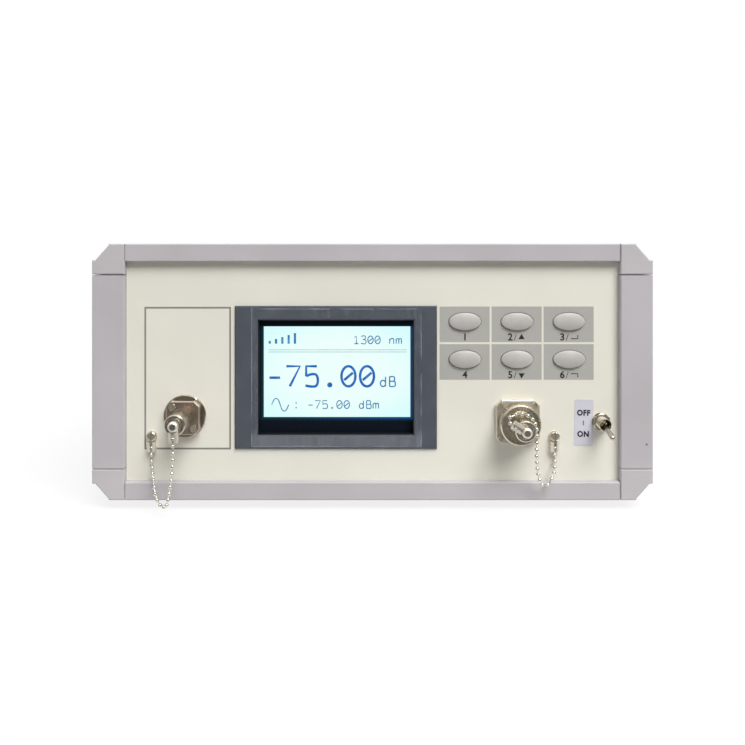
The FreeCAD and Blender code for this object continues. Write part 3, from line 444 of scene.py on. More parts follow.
@dataclass(frozen=True)
class Rubber(Finish):
    """Soft black rubber with a dusty bloom."""

    def shade(self, tree: Shader) -> None:
        """Fill the tree.

        Args:
            tree: Tree of the material.
        """
        bloom = tree.noise(3 * MM, 4.0)
        grain = tree.noise(0.2 * MM)
        base = tree.mix(bloom.rise(0.45, 0.75), self.toned(), self.toned(1.9))
        tree.principled(
            base_color=base, roughness=0.72 + (bloom - 0.5) * 0.3, normal=tree.bump(grain, 0.02 * MM))


@dataclass(frozen=True)
class Board(Finish):
    """Green circuit board with tracks and solder spots."""

    pitch: float = 2.54 * MM
    solder: Colour = (196, 190, 178)

    def shade(self, tree: Shader) -> None:
        """Fill the tree.

        Args:
            tree: Tree of the material.
        """
        x, y, z = tree.axes()
        wave = ((x + z) / self.pitch * TURN).math("SINE")
        pads = (wave * (y / self.pitch * TURN).math("COSINE")).rise(0.8, 0.9)
        track = wave.rise(0.3, 0.6) * tree.noise(9 * MM, 1.0).rise(0.45, 0.55)
        base = tree.mix(track, self.toned(), self.toned(1.8))
        tree.principled(
            base_color=tree.mix(pads, base, linear(self.solder)), roughness=0.4 - pads * 0.15,
            metallic=pads * 0.8, normal=tree.bump(track, 0.03 * MM))


@dataclass(frozen=True)
class Glass(Finish):
    """Dark display cell with a gloss face and a blue bleed from its light."""

    middle: Spot
    half: Spot
    bleed: float = 2.6 * MM
    left_glow: Colour = (8, 44, 56)
    right_glow: Colour = (6, 74, 124)

    def shade(self, tree: Shader) -> None:
        """Fill the tree.

        Args:
            tree: Tree of the material.
        """
        side, up = tree.off_middle(self.middle)
        width, height = self.half[0] * MM, self.half[1] * MM
        bleed = 1 - tree.beyond(self.middle, self.half).rise(0.0, self.bleed)
        bleed = bleed * (1 - up.rise(height, height + 0.4 * MM) * 0.85)
        glow = tree.mix(side.rise(-width, width), linear(self.left_glow), linear(self.right_glow))
        smear = tree.noise(6 * MM, 3.0)
        tree.principled(
            base_color=self.toned(), emission_color=tree.mix(bleed ** 1.5, grey(0.0), glow),
            emission_strength=1.0, roughness=0.16 + smear * 0.12, gloss=0.1,
            normal=tree.bump(smear, 0.002 * MM))


@dataclass(frozen=True)
class Screen(Finish):
    """Lit display field with its dot grid and a slightly warmer, dimmer rim."""

    rim: Colour
    middle: Spot
    half: Spot
    dot: float = 0.31 * MM
    unlit: Colour = (12, 14, 16)

    def shade(self, tree: Shader) -> None:
        """Fill the tree.

        Args:
            tree: Tree of the material.
        """
        side, up = tree.off_middle(self.middle)
        off = (side / (self.half[0] * MM)) ** 2.0 + (up / (self.half[1] * MM)) ** 2.0
        cloud = tree.noise(30 * MM, 1.0)
        dim = (off * 0.55 + (cloud - 0.5) * 0.5).rise(0.1, 1.1)
        grid = [(place * (TURN / self.dot)).math("COSINE") * 0.5 for place in (side, up)]
        dots = grid[0] + grid[1]
        base = tree.mix(dim, self.toned(), linear(self.rim))
        base = tree.mix(dots.rise(0.5, 1.0) * 0.05, base, linear(self.rim))
        tree.principled(
            base_color=linear(self.unlit), emission_color=base, emission_strength=1.0,
            roughness=0.3 + (cloud - 0.5) * 0.1, gloss=0.2, normal=tree.bump(dots, 0.002 * MM))


@dataclass(frozen=True)
class LitInk(Finish):
    """Figures of the display, which let part of the light behind them through."""

    pale: Colour
    unlit: Colour = (10, 14, 24)

    def shade(self, tree: Shader) -> None:
        """Fill the tree.

        Args:
            tree: Tree of the material.
        """
        cloud = tree.noise(2.5 * MM)
        lit = tree.mix(cloud.rise(0.35, 0.75), self.toned(), linear(self.pale))
        tree.principled(
            base_color=linear(self.unlit), emission_color=lit, emission_strength=1.0,
            roughness=0.35 + (cloud - 0.5) * 0.1, gloss=0.2)


@dataclass(frozen=True)
class Ink(Finish):
    """Screen-printed ink with slightly uneven cover."""

    cover: float = 0.12

    def shade(self, tree: Shader) -> None:
        """Fill the tree.

        Args:
            tree: Tree of the material.
        """
        patch = tree.noise(1.2 * MM, 3.0)
        cloud = tree.noise(20 * MM)
        base = tree.mix(patch.rise(0.35, 0.7) * self.cover, self.toned(), self.toned(1.5))
        base = tree.mix(cloud.rise(0.3, 0.7) * 0.5, base, self.toned(0.95))
        tree.principled(
            base_color=base, roughness=0.48 + (patch - 0.5) * 0.2, gloss=0.35,
            normal=tree.bump(patch, 0.01 * MM))


@dataclass(frozen=True)
class Film(Finish):
    """Clear protective film with a light edge, and dusty streaks along its lower side."""

    middle: Spot
    half: Spot
    dusty_below: float = 36 * MM

    def shade(self, tree: Shader) -> None:
        """Fill the tree.

        Args:
            tree: Tree of the material.
        """
        _, _, z = tree.axes()
        edge = tree.beyond(self.middle, self.half).rise(-0.7 * MM, -0.2 * MM)
        low = 1 - z.rise(self.dusty_below, self.dusty_below + 5 * MM)
        streaks = tree.noise(2.2 * MM, 4.0, (1.0, 1.0, 0.12))
        clouds = tree.noise(11 * MM, 3.0)
        dust = tree.noise(0.5 * MM, 1.0).rise(0.68, 0.76)
        haze = streaks.rise(0.42, 0.75) * 0.05 + clouds.rise(0.45, 0.8) * 0.03 + dust * 0.08
        worn = edge * clouds.rise(0.35, 0.6) * 0.3
        tree.principled(
            base_color=self.toned(), alpha=haze + low * (0.03 + streaks * 0.1) + worn,
            roughness=0.4 + (streaks - 0.5) * 0.25, gloss=0.15,
            normal=tree.bump(streaks + clouds, 0.04 * MM))


class Finishes(Enum):
    """Finishes of this meter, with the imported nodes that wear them."""

    RING = Paint(
        "ring_paint", "frame_paint", (187, 183, 186), speck=(0.1368, -0.1130, 0.0328),
        nodes="front_top_bar front_bottom_bar front_left_bar front_right_bar "
              "rear_top_bar rear_bottom_bar rear_left_bar rear_right_bar")
    CASTING = Paint(
        "casting_paint", "frame_paint", (190, 186, 188), grain=0.7 * MM, grain_depth=0.05 * MM,
        roughness=0.55,
        nodes="front_corner_top_left front_corner_top_right front_corner_bottom_left "
              "front_corner_bottom_right rear_corners")
    COVER = Paint(
        "cover_stoving", "cover_paint", (186, 184, 183), grain=0.8 * MM, grain_depth=0.06 * MM,
        roughness=0.58, tone=0.015, nodes="top_cover bottom_cover left_side_panel right_side_panel")
    PANEL = Paint(
        "panel_stoving", "panel_paint", (229, 226, 214), grain=0.4 * MM, grain_depth=0.012 * MM,
        roughness=0.46, tone=0.02, nodes="front_panel rear_panel")
    RUBBER = Rubber("foot_rubber", "rubber", (34, 34, 36), nodes="foot_1 foot_2 foot_3 foot_4")
    STEEL = Plating("screw_steel", "steel", (186, 184, 180), roughness=0.3, nodes="tie_rods case_screws")
    # Bezel with painted shade, near black, on the inner walls of its window.
    BEZEL = WindowMoulding(
        "bezel_moulding", "bezel_plastic", (82, 86, 94), roughness=0.46, gloss=0.15,
        middle=(-18.4, 65.8), half=(45.0, 32.0), wall_from=-0.1103, nodes="display_bezel")
    GLASS = Glass("display_cell", "lcd", (16, 22, 32), (-18.0, 68.0), (37.2, 23.0), nodes="lcd_glass")
    SCREEN = Screen("display_field", "lcd", (236, 255, 252), (214, 252, 252), (-18.0, 68.0), (37.2, 23.0))
    FIGURES = LitInk("display_figures", "lcd", (24, 96, 178), (52, 122, 196))
    FINE_FIGURES = LitInk("display_fine_figures", "lcd", (44, 112, 164), (86, 156, 190))
    RULES = LitInk("display_rules", "lcd", (120, 180, 190), (156, 206, 210))
    BOARD = Board("circuit_board", "board", (18, 74, 44), nodes="lcd_board key_board main_board")
    KEY = Moulding(
        "key_moulding", "key_plastic", (188, 185, 181), grain=0.25 * MM, grain_depth=0.012 * MM,
        roughness=0.42, gloss=0.35, coat=0.1, nodes="key_1 key_2 key_3 key_4 key_5 key_6")
    NICKEL = Plating("port_nickel", "nickel", (188, 179, 163), roughness=0.15, nodes="laser_disc")
    BRIGHT = Plating(
        "bright_nickel", "nickel", (203, 195, 178), roughness=0.24,
        nodes="switch_nut switch_body switch_lever")
    SCREW = Plating(
        "screw_nickel", "nickel", (216, 208, 190), roughness=0.38,
        nodes="laser_screws detector_screws anchor_screws")
    # Caps whose knob rims carry a painted highlight.
    LASER_CAP = Plating(
        "laser_cap_nickel", "nickel", (198, 190, 176), roughness=0.24,
        knob=(-0.0944, -0.1332, 0.0463), nodes="laser_cap")
    DETECTOR_CAP = Plating(
        "detector_cap_nickel", "nickel", (212, 204, 188), roughness=0.24,
        knob=(0.0728, -0.1351, 0.0438), nodes="detector_cap")
    SATIN = Plating("satin_nickel", "nickel", (226, 219, 203), roughness=0.45, nodes="detector_flange")
    LASER_NICKEL = Plating(
        "laser_port_nickel", "nickel", (197, 181, 164), roughness=0.3,
        thread=((-0.0944, -0.1264, 0.0463), -0.1204, 0.0040, 0.00075), nodes="laser_receptacle")
    DETECTOR_NICKEL = Plating(
        "detector_port_nickel", "nickel", (214, 206, 188), roughness=0.26,
        thread=((0.0728, -0.1283, 0.0438), -0.1223, 0.0040, 0.00075), nodes="detector_adapter")
    CLASP = Plating(
        "clasp_plate", "clasp_metal", (246, 240, 228), roughness=0.58, stain=0.1,
        nodes="laser_cap_clasp laser_anchor_clasp detector_cap_clasp detector_anchor_clasp")
    CHAIN = Plating(
        "chain_plate", "chain_metal", (222, 217, 206), roughness=0.13, stain=0.2,
        nodes="laser_chain detector_chain")
    BLACK = Moulding(
        "black_moulding", "black_plastic", (30, 30, 32), roughness=0.4, nodes="mains_inlet fibre_coupler")
    ZINC = Plating(
        "zinc_sheet", "zinc", (190, 192, 194), roughness=0.35, stain=0.35,
        nodes="power_supply serial_port detector_module")
    SINK = Moulding(
        "sink_anodising", "heat_sink", (42, 43, 46), grain=0.2 * MM, roughness=0.5, nodes="laser_source")
    OUTLINE = Ink("outline_ink", "panel_paint", (138, 132, 126))
    FIELD = Ink("key_field_ink", "panel_paint", (174, 173, 167), cover=0.08)
    LEGEND = Ink("legend_ink", "panel_paint", (44, 42, 42), cover=0.3)
    STICKER = Ink("switch_label", "panel_paint", (206, 204, 213), cover=0.1)
    STICKER_INK = Ink("switch_label_ink", "panel_paint", (36, 36, 44), cover=0.2)
    FILM = Film("bezel_film", "bezel_plastic", (186, 192, 198), (-18.1, 65.7), (42.8, 34.8))


def stand(name: str, data: bpy.types.ID) -> bpy.types.Object:
    """Link a new object to the scene.

    Args:
        name: Name of the object.
        data: What it shows.

    Returns:
        The object.
    """
    made = bpy.data.objects.new(name, data)
    bpy.context.scene.collection.objects.link(made)
    return made


def pull(shape: BMesh, faces: list[BMFace], height: float, keep: bool = False) -> None:
    """Extrude faces along Z; the old ones stay as an underside if they are kept."""
    made = bmesh.ops.extrude_face_region(shape, geom=faces, use_keep_orig=keep)["geom"]
    bmesh.ops.translate(shape, verts=[part for part in made if isinstance(part, BMVert)], vec=(0, 0, height))


def append(whole: BMesh, part: BMesh) -> None:
    """Add a finished mesh to another.

    Args:
        whole: Mesh to add to.
        part: Mesh to add; it is freed.
    """
    mesh = bpy.data.meshes.new("part")
    part.to_mesh(mesh)
    part.free()
    whole.from_mesh(mesh)
    bpy.data.meshes.remove(mesh)


class Assembly:
    """What every sub-assembly shares: making a finished piece from a mesh."""

    def publish(self, shape: BMesh, name: str, finish: Finishes, body: Optional[str] = "case",
                smooth: bool = False) -> bpy.types.Object:
        """Turn a bmesh in metres into a finished piece.

        Args:
            shape: Mesh at its place; it is freed.
            name: Name of the piece.
            finish: Its finish.
            body: Body that it rides on, or nothing, which leaves it unattached.
            smooth: Whether its faces are shaded smooth.

        Returns:
            The new object.
        """
        mesh = bpy.data.meshes.new(name)
        bmesh.ops.recalc_face_normals(shape, faces=shape.faces)
        shape.to_mesh(mesh)
        shape.free()
        for face in mesh.polygons:
            face.use_smooth = smooth
        piece = stand(name, mesh)
        mesh.materials.append(finish.value.material())
        if body:
            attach(piece, body)
        LOG.info("%s: %d faces, %s", name, len(mesh.polygons), finish.value.name)
        return piece

    def lay(self, shape: BMesh, name: str, finish: Finishes, spot: Spot, y: float, turn: float = 0.0,
            smooth: bool = False) -> None:
        """Stand a flat shape, drawn on X and Y, upright on the front as a finished piece.

        Args:
            shape: Shape whose front is its upper side.
            name: Name of the piece.
            finish: Its finish.
            spot: Place to the right and height.
            y: Place from the front.
            turn: Turn on the panel in degrees.
            smooth: Whether its faces are shaded smooth.
        """
        upright = Matrix.Rotation(math.radians(90), 4, "X")
        spin = Matrix.Rotation(math.radians(turn), 4, "Y")
        place = Matrix.Translation((spot[0] * MM, y * MM, spot[1] * MM))
        bmesh.ops.transform(shape, matrix=place @ spin @ upright @ Matrix.Scale(MM, 4), verts=shape.verts)
        self.publish(shape, name, finish, smooth=smooth)

    def plate(self, size: Spot, cells: tuple[int, int] = (1, 1)) -> BMesh:
        """Flat rectangle round the origin.

        Args:
            size: Sizes along X and Y.
            cells: Number of faces along X and Y.

        Returns:
            New mesh with the rectangle.
        """
        shape = bmesh.new()
        stretch = Matrix.Diagonal((*size, 1.0, 1.0))
        bmesh.ops.create_grid(shape, x_segments=cells[0], y_segments=cells[1], size=0.5, matrix=stretch)
        return shape

    def thicken(self, shape: BMesh, height: float) -> None:
        """Raise flat faces into a sheet that stands on Z = 0."""
        pull(shape, shape.faces[:], height, keep=True)

    def flat_copy(self, data: bpy.types.Curve) -> BMesh:
        """Turn a text or curve into a mesh.

        Args:
            data: Text or curve, which is then removed.

        Returns:
            Mesh of it.
        """
        source = stand(data.name, data)
        bpy.context.view_layer.update()
        mesh = bpy.data.meshes.new_from_object(source.evaluated_get(bpy.context.evaluated_depsgraph_get()))
        shape = bmesh.new()
        shape.from_mesh(mesh)
        bpy.data.objects.remove(source)
        bpy.data.curves.remove(data)
        bpy.data.meshes.remove(mesh)
        return shape

    def spline(self, curve: bpy.types.Curve, points: Sequence[Sequence[float]], smooth: bool = True) -> None:
        """Add a line to a curve.

        Args:
            curve: Curve to add to.
            points: Its points, in a plane or in space.
            smooth: Whether it is a NURBS line that starts and ends at its end points, or straight.
        """
        made = curve.splines.new("NURBS" if smooth else "POLY")
        made.points.add(len(points) - 1)
        for target, spot in zip(made.points, points):
            target.co = (*Vector(spot).to_3d(), 1.0)
        if smooth:
            made.order_u = CURVE_ORDER
            made.use_endpoint_u = True

    def strokes(self, lines: Iterable[Stroke], width: float, height: float) -> BMesh:
        """Strokes of even width as flattened rods.

        Args:
            lines: Whether each stroke is smooth, and its points.
            width: Width of a stroke.
            height: How far the strokes stand proud.

        Returns:
            Mesh of all strokes, standing on Z = 0.
        """
        curve = bpy.data.curves.new("strokes", "CURVE")
        curve.dimensions = "3D"
        curve.bevel_depth = width / 2
        curve.bevel_resolution = 2
        curve.use_fill_caps = True
        curve.resolution_u = 8
        for smooth, points in lines:
            self.spline(curve, points, smooth)
        shape = self.flat_copy(curve)
        squeeze = Matrix.Translation((0, 0, height / 2)) @ Matrix.Diagonal((1.0, 1.0, height / width, 1.0))
        bmesh.ops.transform(shape, matrix=squeeze, verts=shape.verts)
        return shape

    def lettering(self, words: str, height: float, thickness: float, weight: float) -> BMesh:
        """Plain upright letters, centred on the origin.

        Args:
            words: Letters to draw.
            height: Height of a capital.
            thickness: How far they stand proud.
            weight: How far their outline is moved outwards.

        Returns:
            Mesh of the letters.
        """
        text = bpy.data.curves.new("lettering", "FONT")
        text.body = words
        text.size = height / CAPITAL
        text.align_x = "CENTER"
        text.align_y = "CENTER"
        text.fill_mode = "FRONT"
        text.offset = weight
        text.space_character = 1 + 2 * weight / height
        shape = self.flat_copy(text)
        bmesh.ops.remove_doubles(shape, verts=shape.verts, dist=LETTER_WELD)
        self.thicken(shape, thickness)
        return shape


@dataclass(frozen=True)
class CrossScrew:
    """Round-head screw with a cross recess; the last four are shares of its head."""

    radius: float
    height: float
    shank: Optional[Spot] = None
    sides: int = 32
    rounding: float = 0.3
    recess: float = 0.5
    arm: float = 0.13
    reach: float = 0.55

    def rod(self, shape: BMesh, radius: float, length: float, middle: float) -> None:
        """Add a round rod along Z."""
        bmesh.ops.create_cone(
            shape, cap_ends=True, segments=self.sides, radius1=radius, radius2=radius,
            depth=length, matrix=Matrix.Translation((0, 0, middle)))

    def in_cross(self, face: BMFace) -> bool:
        """Tell whether a face on top of the head belongs to the cross.

        Args:
            face: Face of the head.

        Returns:
            Whether it does.
        """
        middle = face.calc_center_median()
        near, far = sorted((abs(middle.x), abs(middle.y)))
        on_top = middle.z > self.height * NEAR_TOP and face.normal.z > NEAR_TOP
        return on_top and near < self.radius * self.arm and far < self.radius * self.reach

    def add(self, whole: BMesh, seat: Point) -> None:
        """Add one screw, its head towards +Y.

        Args:
            whole: Mesh in metres to add to.
            seat: Middle of the head's underside.
        """
        shape = bmesh.new()
        self.rod(shape, self.radius, self.height, self.height / 2)
        top = self.height * NEAR_TOP
        rim = [edge for edge in shape.edges if all(vert.co.z > top for vert in edge.verts)]
        bmesh.ops.bevel(
            shape, geom=rim, offset=self.height * self.rounding, offset_type="OFFSET",
            affect="EDGES", segments=4, profile=0.5, material=-1)
        for axis in ((1, 0, 0), (0, 1, 0)):
            for share in (-self.reach, -self.arm, self.arm, self.reach):
                bmesh.ops.bisect_plane(
                    shape, geom=shape.verts[:] + shape.edges[:] + shape.faces[:],
                    plane_co=Vector(axis) * (self.radius * share), plane_no=axis)
        cross = [face for face in shape.faces if self.in_cross(face)]
        pull(shape, cross, -self.height * self.recess)
        bmesh.ops.delete(shape, geom=cross, context="FACES_ONLY")
        if self.shank:
            radius, length = self.shank
            self.rod(shape, radius, length, -length / 2)
        place = Matrix.Translation(Vector(seat) * MM) @ Matrix.Rotation(math.radians(-90), 4, "X")
        bmesh.ops.transform(shape, matrix=place @ Matrix.Scale(MM, 4), verts=shape.verts)
        append(whole, shape)


@dataclass
class Case(Assembly):
    """Rings, covers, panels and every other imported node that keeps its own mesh."""

    screw: CrossScrew = CrossScrew(3.5, 2.4, (2.0, 20.0))
    screw_sink: float = 2.8
    screw_inset: float = 10.0
    half_width: float = 140.0
    low: float = 5.0
    high: float = 133.0

    def dress(self) -> None:
        """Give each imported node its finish."""
        for finish in Finishes:
            for node in finish.value.nodes.split():
                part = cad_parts[node]
                part.data.materials.clear()
                part.data.materials.append(finish.value.material())
                LOG.info("%s: %s", node, finish.value.name)

    def build(self) -> None:
        """Screws of the rear castings with their cross recesses."""
        whole = bmesh.new()
        across = self.half_width - self.screw_inset
        for x in (-across, across):
            for z in (self.low + self.screw_inset, self.high - self.screw_inset):
                self.screw.add(whole, (x, REAR_FACE_Y - self.screw_sink, z))
        screws = self.publish(whole, "rear_case_screws", Finishes.STEEL)
        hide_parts("case_screws")


def ring(x: float, y: float, half_width: float, half_height: float) -> list[Spot]:
    """Guide points of a closed round stroke that starts and ends at its foot.

    Args:
        x: Middle of the ring.
        y: Middle of the ring.
        half_width: Half its width.
        half_height: Half its height.

    Returns:
        Points for a smooth stroke.
    """
    sides = 8
    reach = 1 / math.cos(math.pi / sides)
    angles = [math.pi * ((2 * side + 1) / sides - 0.5) for side in range(sides)]
    around = [(x + half_width * reach * math.cos(a), y + half_height * reach * math.sin(a)) for a in angles]
    foot = (x, y - half_height)
    return [foot, *around, foot]


# Strokes of each figure in parts of its height, smooth or straight, in a cell ADVANCE wide
ADVANCE = 0.925
GLYPHS: dict[str, list[Stroke]] = {
    " ": [],
    "-": [(False, [(0.22, 0.43), (0.75, 0.43)])],
    ".": [(True, ring(0.45, 0.07, 0.065, 0.065))],
    "0": [(True, ring(0.455, 0.5, 0.345, 0.5)), (False, [(0.24, 0.31), (0.68, 0.68)])],
    "1": [(False, [(0.24, 0.8), (0.47, 1.0), (0.47, 0.0)]), (False, [(0.2, 0.0), (0.74, 0.0)])],
    "3": [(True, [(0.17, 0.93), (0.34, 1.04), (0.74, 1.02), (0.72, 0.56), (0.36, 0.55)]),
          (True, [(0.36, 0.55), (0.8, 0.54), (0.8, 0.0), (0.36, -0.04), (0.15, 0.08)])],
    "5": [(False, [(0.73, 1.0), (0.2, 1.0), (0.2, 0.5)]),
          (True, [(0.2, 0.5), (0.4, 0.62), (0.78, 0.6), (0.78, 0.0), (0.4, -0.02), (0.16, 0.04)])],
    "7": [(False, [(0.137, 1.0), (0.814, 1.0), (0.31, 0.0)])],
    "d": [(False, [(0.72, 1.0), (0.72, 0.0)]), (True, ring(0.46, 0.31, 0.26, 0.31))],
    "B": [(False, [(0.2, 0.0), (0.2, 1.0)]),
          (True, [(0.2, 1.0), (0.5, 1.0), (0.7, 0.98), (0.7, 0.55), (0.5, 0.53), (0.2, 0.53)]),
          (True, [(0.2, 0.53), (0.5, 0.53), (0.78, 0.52), (0.78, 0.01), (0.5, 0.0), (0.2, 0.0)])],
    "m": [(False, [(0.1, 0.0), (0.1, 0.64)]),
          (True, [(0.1, 0.46), (0.16, 0.66), (0.44, 0.68), (0.44, 0.4), (0.44, 0.0)]),
          (True, [(0.44, 0.46), (0.5, 0.66), (0.78, 0.68), (0.78, 0.4), (0.78, 0.0)])],
    "n": [(False, [(0.18, 0.0), (0.18, 0.64)]),
          (True, [(0.18, 0.42), (0.24, 0.66), (0.7, 0.7), (0.7, 0.4), (0.7, 0.0)])],
}


def figures(words: str, height: float) -> list[Stroke]:
    """Strokes of a line of display figures of a height, from its lower left."""
    return [(smooth, [((place * ADVANCE + x) * height, y * height) for x, y in points])
            for place, letter in enumerate(words) for smooth, points in GLYPHS[letter]]


@dataclass
class Display(Assembly):
    """Lit field, its figures and the film on the bezel."""

    middle: Spot = (-18.0, 68.0)
    field: Spot = (74.4, 46.0)
    field_thickness: float = 0.06
    figure_thickness: float = 0.06
    bars: int = 5
    bar_pitch: float = 3.2
    bar_low: float = 1.4
    bar_step: float = 1.0
    wave: Sequence[Spot] = (
        (0.0, 2.0), (1.1, 5.2), (3.2, 5.2), (4.3, 2.0), (5.4, -1.2), (7.5, -1.2), (8.6, 2.0))
    dots: Sequence[Spot] = ((12.4, 0.5), (12.4, 2.9))
    dot_radius: float = 0.12
    rule_length: float = 70.1
    rule_levels: Spot = (0.0, 1.1)
    bezel_middle: Spot = (-18.4, 65.8)
    window: Spot = (79.4, 58.9)
    film: Spot = (85.6, 69.6)
    film_shift: Spot = (0.3, -0.1)
    film_cells: tuple[int, int] = (108, 86)
    film_thickness: float = 0.03
    film_gap: float = 0.02
    wrinkle_reach: float = 13.0
    wrinkle_lift: float = 0.32
    wrinkle_waves: Spot = (0.9, 0.25)
    wrinkle_ease: float = 0.4

    def build(self) -> None:
        """Field, figures and film."""
        shape = self.plate(self.field)
        self.thicken(shape, self.field_thickness)
        self.lay(shape, "display_field", Finishes.SCREEN, self.middle, GLASS_Y)
        self.readings()
        self.protective_film()

    def readings(self) -> None:
        """Reading, second reading, wavelength, units, rules and marks."""
        tops = [(self.bar_pitch * n, self.bar_low + self.bar_step * n) for n in range(self.bars)]
        bars = [(False, [(x, 0.0), (x, top)]) for x, top in tops]
        size = self.dot_radius
        wave = [(True, self.wave), *((True, ring(*dot, size, size)) for dot in self.dots)]
        rules = [(False, [(0.0, level), (self.rule_length, level)]) for level in self.rule_levels]
        fine = Finishes.FINE_FIGURES
        rows = [
            ("display_reading", figures("-75.00", 10.2), (-54.6, 60.55), 1.3, Finishes.FIGURES),
            ("display_unit", figures("dB", 5.05), (3.0, 60.45), 0.66, fine),
            ("display_wavelength", figures("1300 nm", 3.9), (-10.0, 82.2), 0.52, fine),
            ("display_second", figures("-75.00 dBm", 4.0), (-33.4, 49.3), 0.52, fine),
            ("display_level_mark", bars, (-52.2, 82.2), 1.15, fine),
            ("display_wave_mark", wave, (-51.2, 49.2), 0.5, fine),
            ("display_rules", rules, (-52.8, 78.0), 0.3, Finishes.RULES),
        ]
        for name, lines, place, width, finish in rows:
            shape = self.strokes(lines, width, self.figure_thickness)
            self.lay(shape, name, finish, place, GLASS_Y - self.field_thickness)

    def protective_film(self) -> None:
        """Thin film on the bezel, open at the window, with a lifted wrinkle at one corner."""
        shape = self.plate(self.film, self.film_cells)
        gone = [face for face in shape.faces if self.over_window(face.calc_center_median())]
        bmesh.ops.delete(shape, geom=gone, context="FACES")
        corner = Vector((self.film[0] / 2, -self.film[1] / 2))
        along, across = self.wrinkle_waves
        for vert in shape.verts:
            away = (vert.co.xy - corner).length
            ripple = math.sin(away * along - vert.co.x * across) * 0.5 + 0.5
            lift = self.wrinkle_lift * ripple * max(0.0, 1 - away / self.wrinkle_reach)
            vert.co.z = self.film_thickness + lift
        bmesh.ops.smooth_vert(shape, verts=shape.verts, factor=self.wrinkle_ease, use_axis_z=True)
        bmesh.ops.solidify(shape, geom=shape.faces[:], thickness=self.film_thickness)
        spot = (self.bezel_middle[0] + self.film_shift[0], self.bezel_middle[1] + self.film_shift[1])
        self.lay(shape, "bezel_film", Finishes.FILM, spot, BEZEL_Y - self.film_gap, smooth=True)

    def over_window(self, spot: Vector) -> bool:
        """Whether a point of the film lies over the bezel's window."""
        inside_x = abs(spot.x + self.film_shift[0]) < self.window[0] / 2
        return inside_x and abs(spot.y + self.film_shift[1]) < self.window[1] / 2


class Sign(Enum):
    """Signs beside the key numbers; an arrow's value is its turn in degrees, a hook's its way up."""

    UP = 0.0
    DOWN = 180.0
    ENTER = 1.0
    BACK = -1.0


KEY_SIGNS = {2: Sign.UP, 3: Sign.ENTER, 5: Sign.DOWN, 6: Sign.BACK}


@dataclass
class Keypad(Assembly):
    """Printed fields round the keys and the marks under them."""

    columns: Sequence[float] = (46.4, 72.6, 98.8)
    rows: Sequence[float] = (92.4, 73.45)
    field: Spot = (25.2, 17.9)
    field_cuts: int = 15
    key_columns: Sequence[float] = (46.6, 72.8, 99.0)
    key_rows: Sequence[float] = (93.8, 74.8)
    hole: Spot = (17.0, 9.8)
    print_thickness: float = 0.05
    mark_height: float = 3.6
    mark_weight: float = 0.11
    mark_drop: float = 7.95
    number_shift: float = -3.4
    slash: Sequence[Spot] = ((-1.5, -1.6), (-0.4, 1.6))
    slash_width: float = 0.32
    arrow_radius: float = 1.8
    arrow_shift: float = 2.3
    hook: Sequence[Spot] = ((1.0, -0.7), (4.4, -0.7), (4.4, 1.1))
    hook_width: float = 0.5

    def build(self) -> None:
        """Six fields and six marks."""
        number = 0
        for row, key_z in enumerate(self.key_rows):
            for column, key_x in enumerate(self.key_columns):
                number += 1
                self.key_field(number, (self.columns[column], self.rows[row]), (key_x, key_z))
                self.key_mark(number, (key_x, key_z - self.mark_drop))

    def key_field(self, number: int, middle: Spot, key: Spot) -> None:
        """Grey printed field with an oval opening for its key.

        Args:
            number: Number of the key.
            middle: Middle of the field on the panel.
            key: Middle of the key.
        """
        shape = self.plate(self.field)
        bmesh.ops.delete(shape, geom=shape.faces[:], context="FACES_ONLY")
        bmesh.ops.subdivide_edges(shape, edges=shape.edges[:], cuts=self.field_cuts)
        place = Matrix.Translation((key[0] - middle[0], key[1] - middle[1], 0.0))
        oval = place @ Matrix.Diagonal((self.hole[0] / 2, self.hole[1] / 2, 1.0, 1.0))
        bmesh.ops.create_circle(
            shape, cap_ends=False, segments=4 * (self.field_cuts + 1), radius=1.0, matrix=oval)
        bmesh.ops.bridge_loops(shape, edges=shape.edges[:])
        self.thicken(shape, self.print_thickness)
        self.lay(shape, f"key_field_{number}", Finishes.FIELD, middle, PANEL_Y)

    def key_mark(self, number: int, spot: Spot) -> None:
        """Plain number, and on four keys a stroke and a sign beside it.

        Args:
            number: Number of the key.
            spot: Middle of the mark on the panel.
        """
        whole = self.lettering(str(number), self.mark_height, self.print_thickness, self.mark_weight)
        sign = KEY_SIGNS.get(number)
        if sign:
            bmesh.ops.translate(whole, verts=whole.verts, vec=(self.number_shift, 0, 0))
            append(whole, self.strokes([(False, self.slash)], self.slash_width, self.print_thickness))
            append(whole, self.sign(sign))
        self.lay(whole, f"key_mark_{number}", Finishes.LEGEND, spot, PANEL_Y - self.print_thickness)

    def sign(self, sign: Sign) -> BMesh:
        """Arrow or hook to the right of a key's number.

        Args:
            sign: Which sign to draw.

        Returns:
            Its mesh.
        """
        if sign in (Sign.ENTER, Sign.BACK):
            hook = [(x, y * sign.value) for x, y in self.hook]
            return self.strokes([(False, hook)], self.hook_width, self.print_thickness)
        shape = bmesh.new()
        bmesh.ops.create_circle(shape, cap_ends=True, segments=3, radius=self.arrow_radius)
        turn = Matrix.Rotation(math.radians(sign.value), 3, "Z")
        bmesh.ops.rotate(shape, verts=shape.verts, matrix=turn)
        bmesh.ops.translate(shape, verts=shape.verts, vec=(self.arrow_shift, 0, 0))
        self.thicken(shape, self.print_thickness)
        return shape


